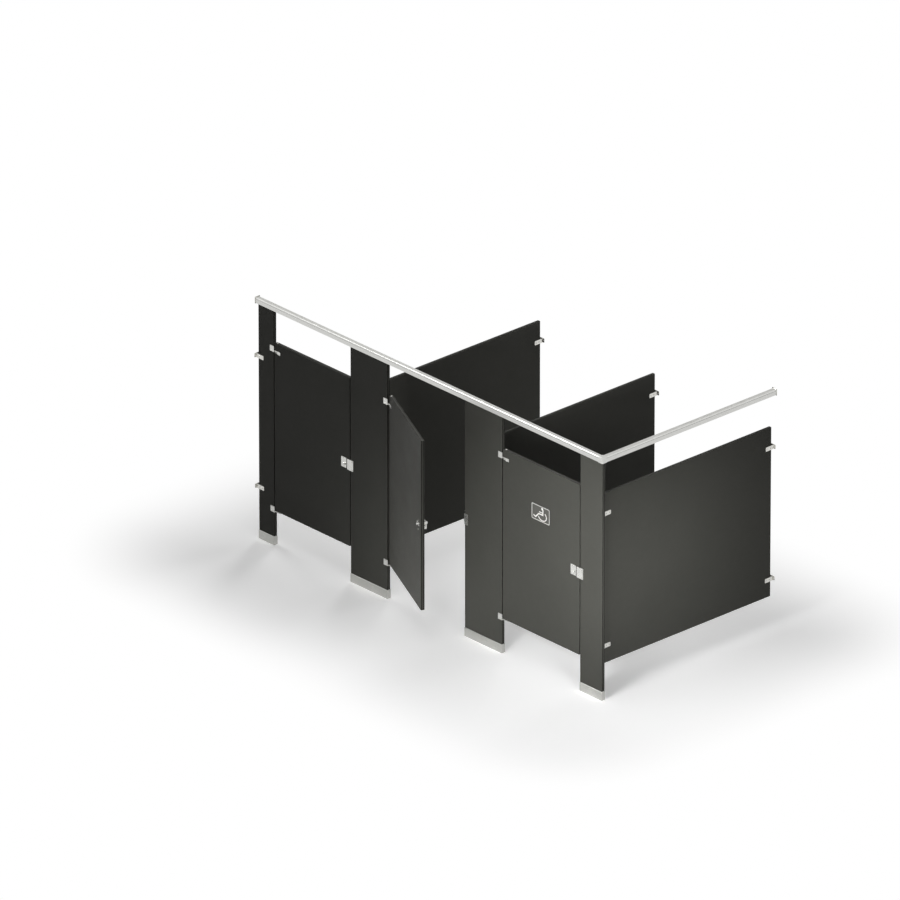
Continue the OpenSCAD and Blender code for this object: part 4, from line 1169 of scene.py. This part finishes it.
# The two dark tones below are painted shade, with some dirt, in grooves, recesses and the sign
# plate's rim.
SHADE_AND_DIRT_DARK = srgb(24, 24, 22)
METAL_SHADE_AND_DIRT = srgb(48, 48, 47)
METAL_LINE = srgb(170, 170, 166)
METAL_DUST = srgb(150, 149, 144)
ALONG_X = (0.03, 1.0, 1.0)
ALONG_Z = (1.0, 1.0, 0.03)
ALONG_RAILS = (0.03, 0.03, 1.0)
ALONG_CORE = (1.0, 1.0, 0.2)
FINISHES = {
    # The rim colours below are lighter than each tone: wear, and painted highlight on rounded
    # edges.
    "powder_coat": powder_coat("powder_coat_charcoal", tone=srgb(80, 80, 75.5),
                               rim=srgb(108, 108, 102), dust=srgb(128, 128, 122)),
    "shoe_stainless": metal("brushed_stainless_shoe", srgb(192, 192, 188), 0.34, ALONG_X, 420.0,
                            drift=0.16, rim=srgb(232, 232, 229)),
    "rail_aluminium": metal("anodised_rail", srgb(208, 208, 205), 0.36, ALONG_RAILS, 600.0,
                            drift=0.04, dust=0.35, rim=srgb(224, 224, 221)),
    "stainless_fittings": metal("stainless_fittings", srgb(214, 213, 208), 0.28, ALONG_Z, 1100.0,
                                drag=0.04),
    "cast_hardware": metal("chromed_zinc", srgb(222, 222, 218), 0.3, ALONG_Z, 1500.0,
                           drift=0.05, rim=srgb(240, 240, 238), drag=0.05, share=0.8),
    "rubber_bumper": plain_stuff("moulded_rubber", srgb(38, 38, 38), 0.62, 700.0),
    "nylon_bush": plain_stuff("black_nylon", srgb(52, 52, 54), 0.4, 900.0, bump=0.1),
    "paper_core": plain_stuff("kraft_board", srgb(176, 150, 112), 0.85, 260.0,
                              drift=0.2, bump=0.4, stretch=ALONG_CORE),
    "sign_plate": plain_stuff("sign_plate_grey", srgb(82, 82, 77), 0.42, 800.0, bump=0.1),
    "sign_border": plain_stuff("sign_border_grey", srgb(206, 206, 202), 0.42, 800.0, bump=0.1),
    "sign_white": plain_stuff("sign_white", srgb(236, 236, 233), 0.4, 800.0,
                              drift=0.04, bump=0.1),
}
SLOT_OF = {finish: finish for finish in FINISHES}
SLOT_OF["sign_border"] = "sign_plate"
SLOT_OF["sign_white"] = "sign_plate"


# Stage: floor, world, lamps and camera

FLOOR_HALF = 60
FLOOR_GLOW = 0.26
FLOOR_TONE = 0.98
FLOOR_BOUNCE = 0.35
FADE_START, FADE_END = 0.0, 1.3
WORLD_FILL = 0.05
CAMERA_LENS = 848.6
CAMERA_SENSOR = 36
CAMERA_FAR = 166.856
CAMERA_NEAR_CLIP = 1
CAMERA_FAR_CLIP = 1000
CAMERA_TARGET = Vector((1.9056, 0.2113, 1.3988))
CAMERA_WAY = Vector((0.66542, -0.61103, 0.42878))


def seen_share(nodes):
    """1 for rays from the camera, in a reflection or through glass, and 0 for the others."""
    path = nodes.add("ShaderNodeLightPath")
    seen = nodes.maths("MAXIMUM", path.outputs["Is Camera Ray"], path.outputs["Is Glossy Ray"])
    return nodes.maths("MAXIMUM", seen, path.outputs["Is Transmission Ray"])


def floor_material():
    made = bpy.data.materials.new("pale_floor")
    made.use_nodes = True
    nodes = Nodes(made.node_tree)
    nodes.tree.nodes.clear()
    place = nodes.add("ShaderNodeNewGeometry").outputs["Position"]
    low, high = [Vector((corner.x, corner.y, 0)) for corner in cad_box]
    steps = (("SUBTRACT", (low + high) / 2), ("ABSOLUTE", None), ("SUBTRACT", (high - low) / 2),
             ("MAXIMUM", ORIGIN))
    for operation, other in steps:
        values = {0: place} if other is None else {0: place, 1: other}
        place = nodes.add("ShaderNodeVectorMath", values, operation=operation).outputs[0]
    far = nodes.add("ShaderNodeVectorMath", {0: place}, operation="LENGTH").outputs["Value"]
    fade = nodes.add("ShaderNodeMapRange", {"Value": far, "From Min": FADE_START,
                                            "From Max": FADE_END},
                     interpolation_type="SMOOTHSTEP").outputs["Result"]
    glow = nodes.add("ShaderNodeEmission", {"Strength": FLOOR_GLOW}).outputs[0]
    tone = (FLOOR_TONE, FLOOR_TONE, FLOOR_TONE, 1)
    shaded = nodes.add("ShaderNodeBsdfDiffuse", {"Color": tone}).outputs[0]
    near = nodes.add("ShaderNodeAddShader", {0: glow, 1: shaded}).outputs[0]
    white = nodes.add("ShaderNodeEmission", {"Strength": 1.0}).outputs[0]
    seen = nodes.add("ShaderNodeMixShader", {0: fade, 1: near, 2: white}).outputs[0]
    bounce = (FLOOR_BOUNCE, FLOOR_BOUNCE, FLOOR_BOUNCE, 1)
    lit = nodes.add("ShaderNodeBsdfDiffuse", {"Color": bounce}).outputs[0]
    both = nodes.add("ShaderNodeMixShader", {0: seen_share(nodes), 1: lit, 2: seen}).outputs[0]
    nodes.add("ShaderNodeOutputMaterial", {"Surface": both})
    return made


def floor():
    mesh = bpy.data.meshes.new("floor")
    middle = Vector((CAMERA_TARGET.x, CAMERA_TARGET.y, 0))
    square = [middle + Vector((x, y, 0)) * FLOOR_HALF
              for x, y in ((-1, -1), (1, -1), (1, 1), (-1, 1))]
    mesh.from_pydata(square, [], [(0, 1, 2, 3)])
    mesh.materials.append(floor_material())
    made = bpy.data.objects.new("floor", mesh)
    bpy.context.scene.collection.objects.link(made)


def world():
    made = bpy.data.worlds.new("white_studio")
    bpy.context.scene.world = made
    made.use_nodes = True
    nodes = Nodes(made.node_tree)
    nodes.tree.nodes.clear()
    white = (1, 1, 1, 1)
    fill = nodes.add("ShaderNodeBackground", {"Color": white, "Strength": WORLD_FILL}).outputs[0]
    seen = nodes.add("ShaderNodeBackground", {"Color": white, "Strength": 1.0}).outputs[0]
    both = nodes.add("ShaderNodeMixShader", {0: seen_share(nodes), 1: fill, 2: seen}).outputs[0]
    nodes.add("ShaderNodeOutputWorld", {"Surface": both})


def lamp(name, at, aim, width, power, spread=180, diffuse=True, glossy=True):
    """A square soft lamp that the camera doesn't see."""
    data = bpy.data.lights.new(name, "AREA")
    data.shape = "SQUARE"
    data.size = width
    data.energy = power
    data.spread = math.radians(spread)
    made = bpy.data.objects.new(name, data)
    made.location = at
    made.rotation_euler = (Vector(aim) - Vector(at)).to_track_quat("-Z", "Y").to_euler()
    made.visible_camera = False
    made.visible_diffuse = diffuse
    made.visible_glossy = glossy
    bpy.context.scene.collection.objects.link(made)


def lamps():
    lamp("front_key", at=(4.3, -3.2, 2.4), aim=(3.9, 0.0, 1.0), width=1.4, power=22, spread=70)
    lamp("front_low", at=(2.0, -2.6, 0.45), aim=(2.0, 0.0, 0.15), width=1.0, power=4, spread=64)
    lamp("near_right", at=(7.5, -1.5, 1.5), aim=(3.9, 0.45, 1.0), width=1.0, power=7.5, spread=42)
    lamp("overhead", at=(2.2, -1.2, 6.0), aim=(2.2, 0.0, 0.0), width=3.0, power=35, spread=150,
         glossy=False)
    lamp("rear_soft", at=(-3.2, 7.2, 2.2), aim=(1.9, 0.9, 0.9), width=2.5, power=140, spread=120,
         glossy=False)
    lamp("stalls_soft", at=(2.3, 7.5, 1.5), aim=(2.2, 0.0, 1.0), width=2.5, power=28, spread=70,
         glossy=False)
    lamp("left_soft", at=(-5.0, 1.0, 2.2), aim=(0.0, 0.8, 1.0), width=2.0, power=70, spread=140,
         glossy=False)
    lamp("edge_glint", at=(0.1, -2.3, 5.4), aim=(1.9, 0.0, 2.1), width=1.5, power=200,
         diffuse=False)


def camera():
    data = bpy.data.cameras.new("long_lens")
    data.lens = CAMERA_LENS
    data.sensor_width = CAMERA_SENSOR
    data.clip_start = CAMERA_NEAR_CLIP
    data.clip_end = CAMERA_FAR_CLIP
    made = bpy.data.objects.new("long_lens", data)
    made.location = CAMERA_TARGET + CAMERA_WAY.normalized() * CAMERA_FAR
    made.rotation_euler = CAMERA_WAY.to_track_quat("Z", "Y").to_euler()
    bpy.context.scene.collection.objects.link(made)
    bpy.context.scene.camera = made


bpy.context.scene.view_settings.view_transform = "Standard"
camera()
world()
lamps()
floor()
pilasters()
panels()
doors()
shoes()
headrails()
corner_cover()
plates()
knobs()
fasteners()
carried_over()
sign()
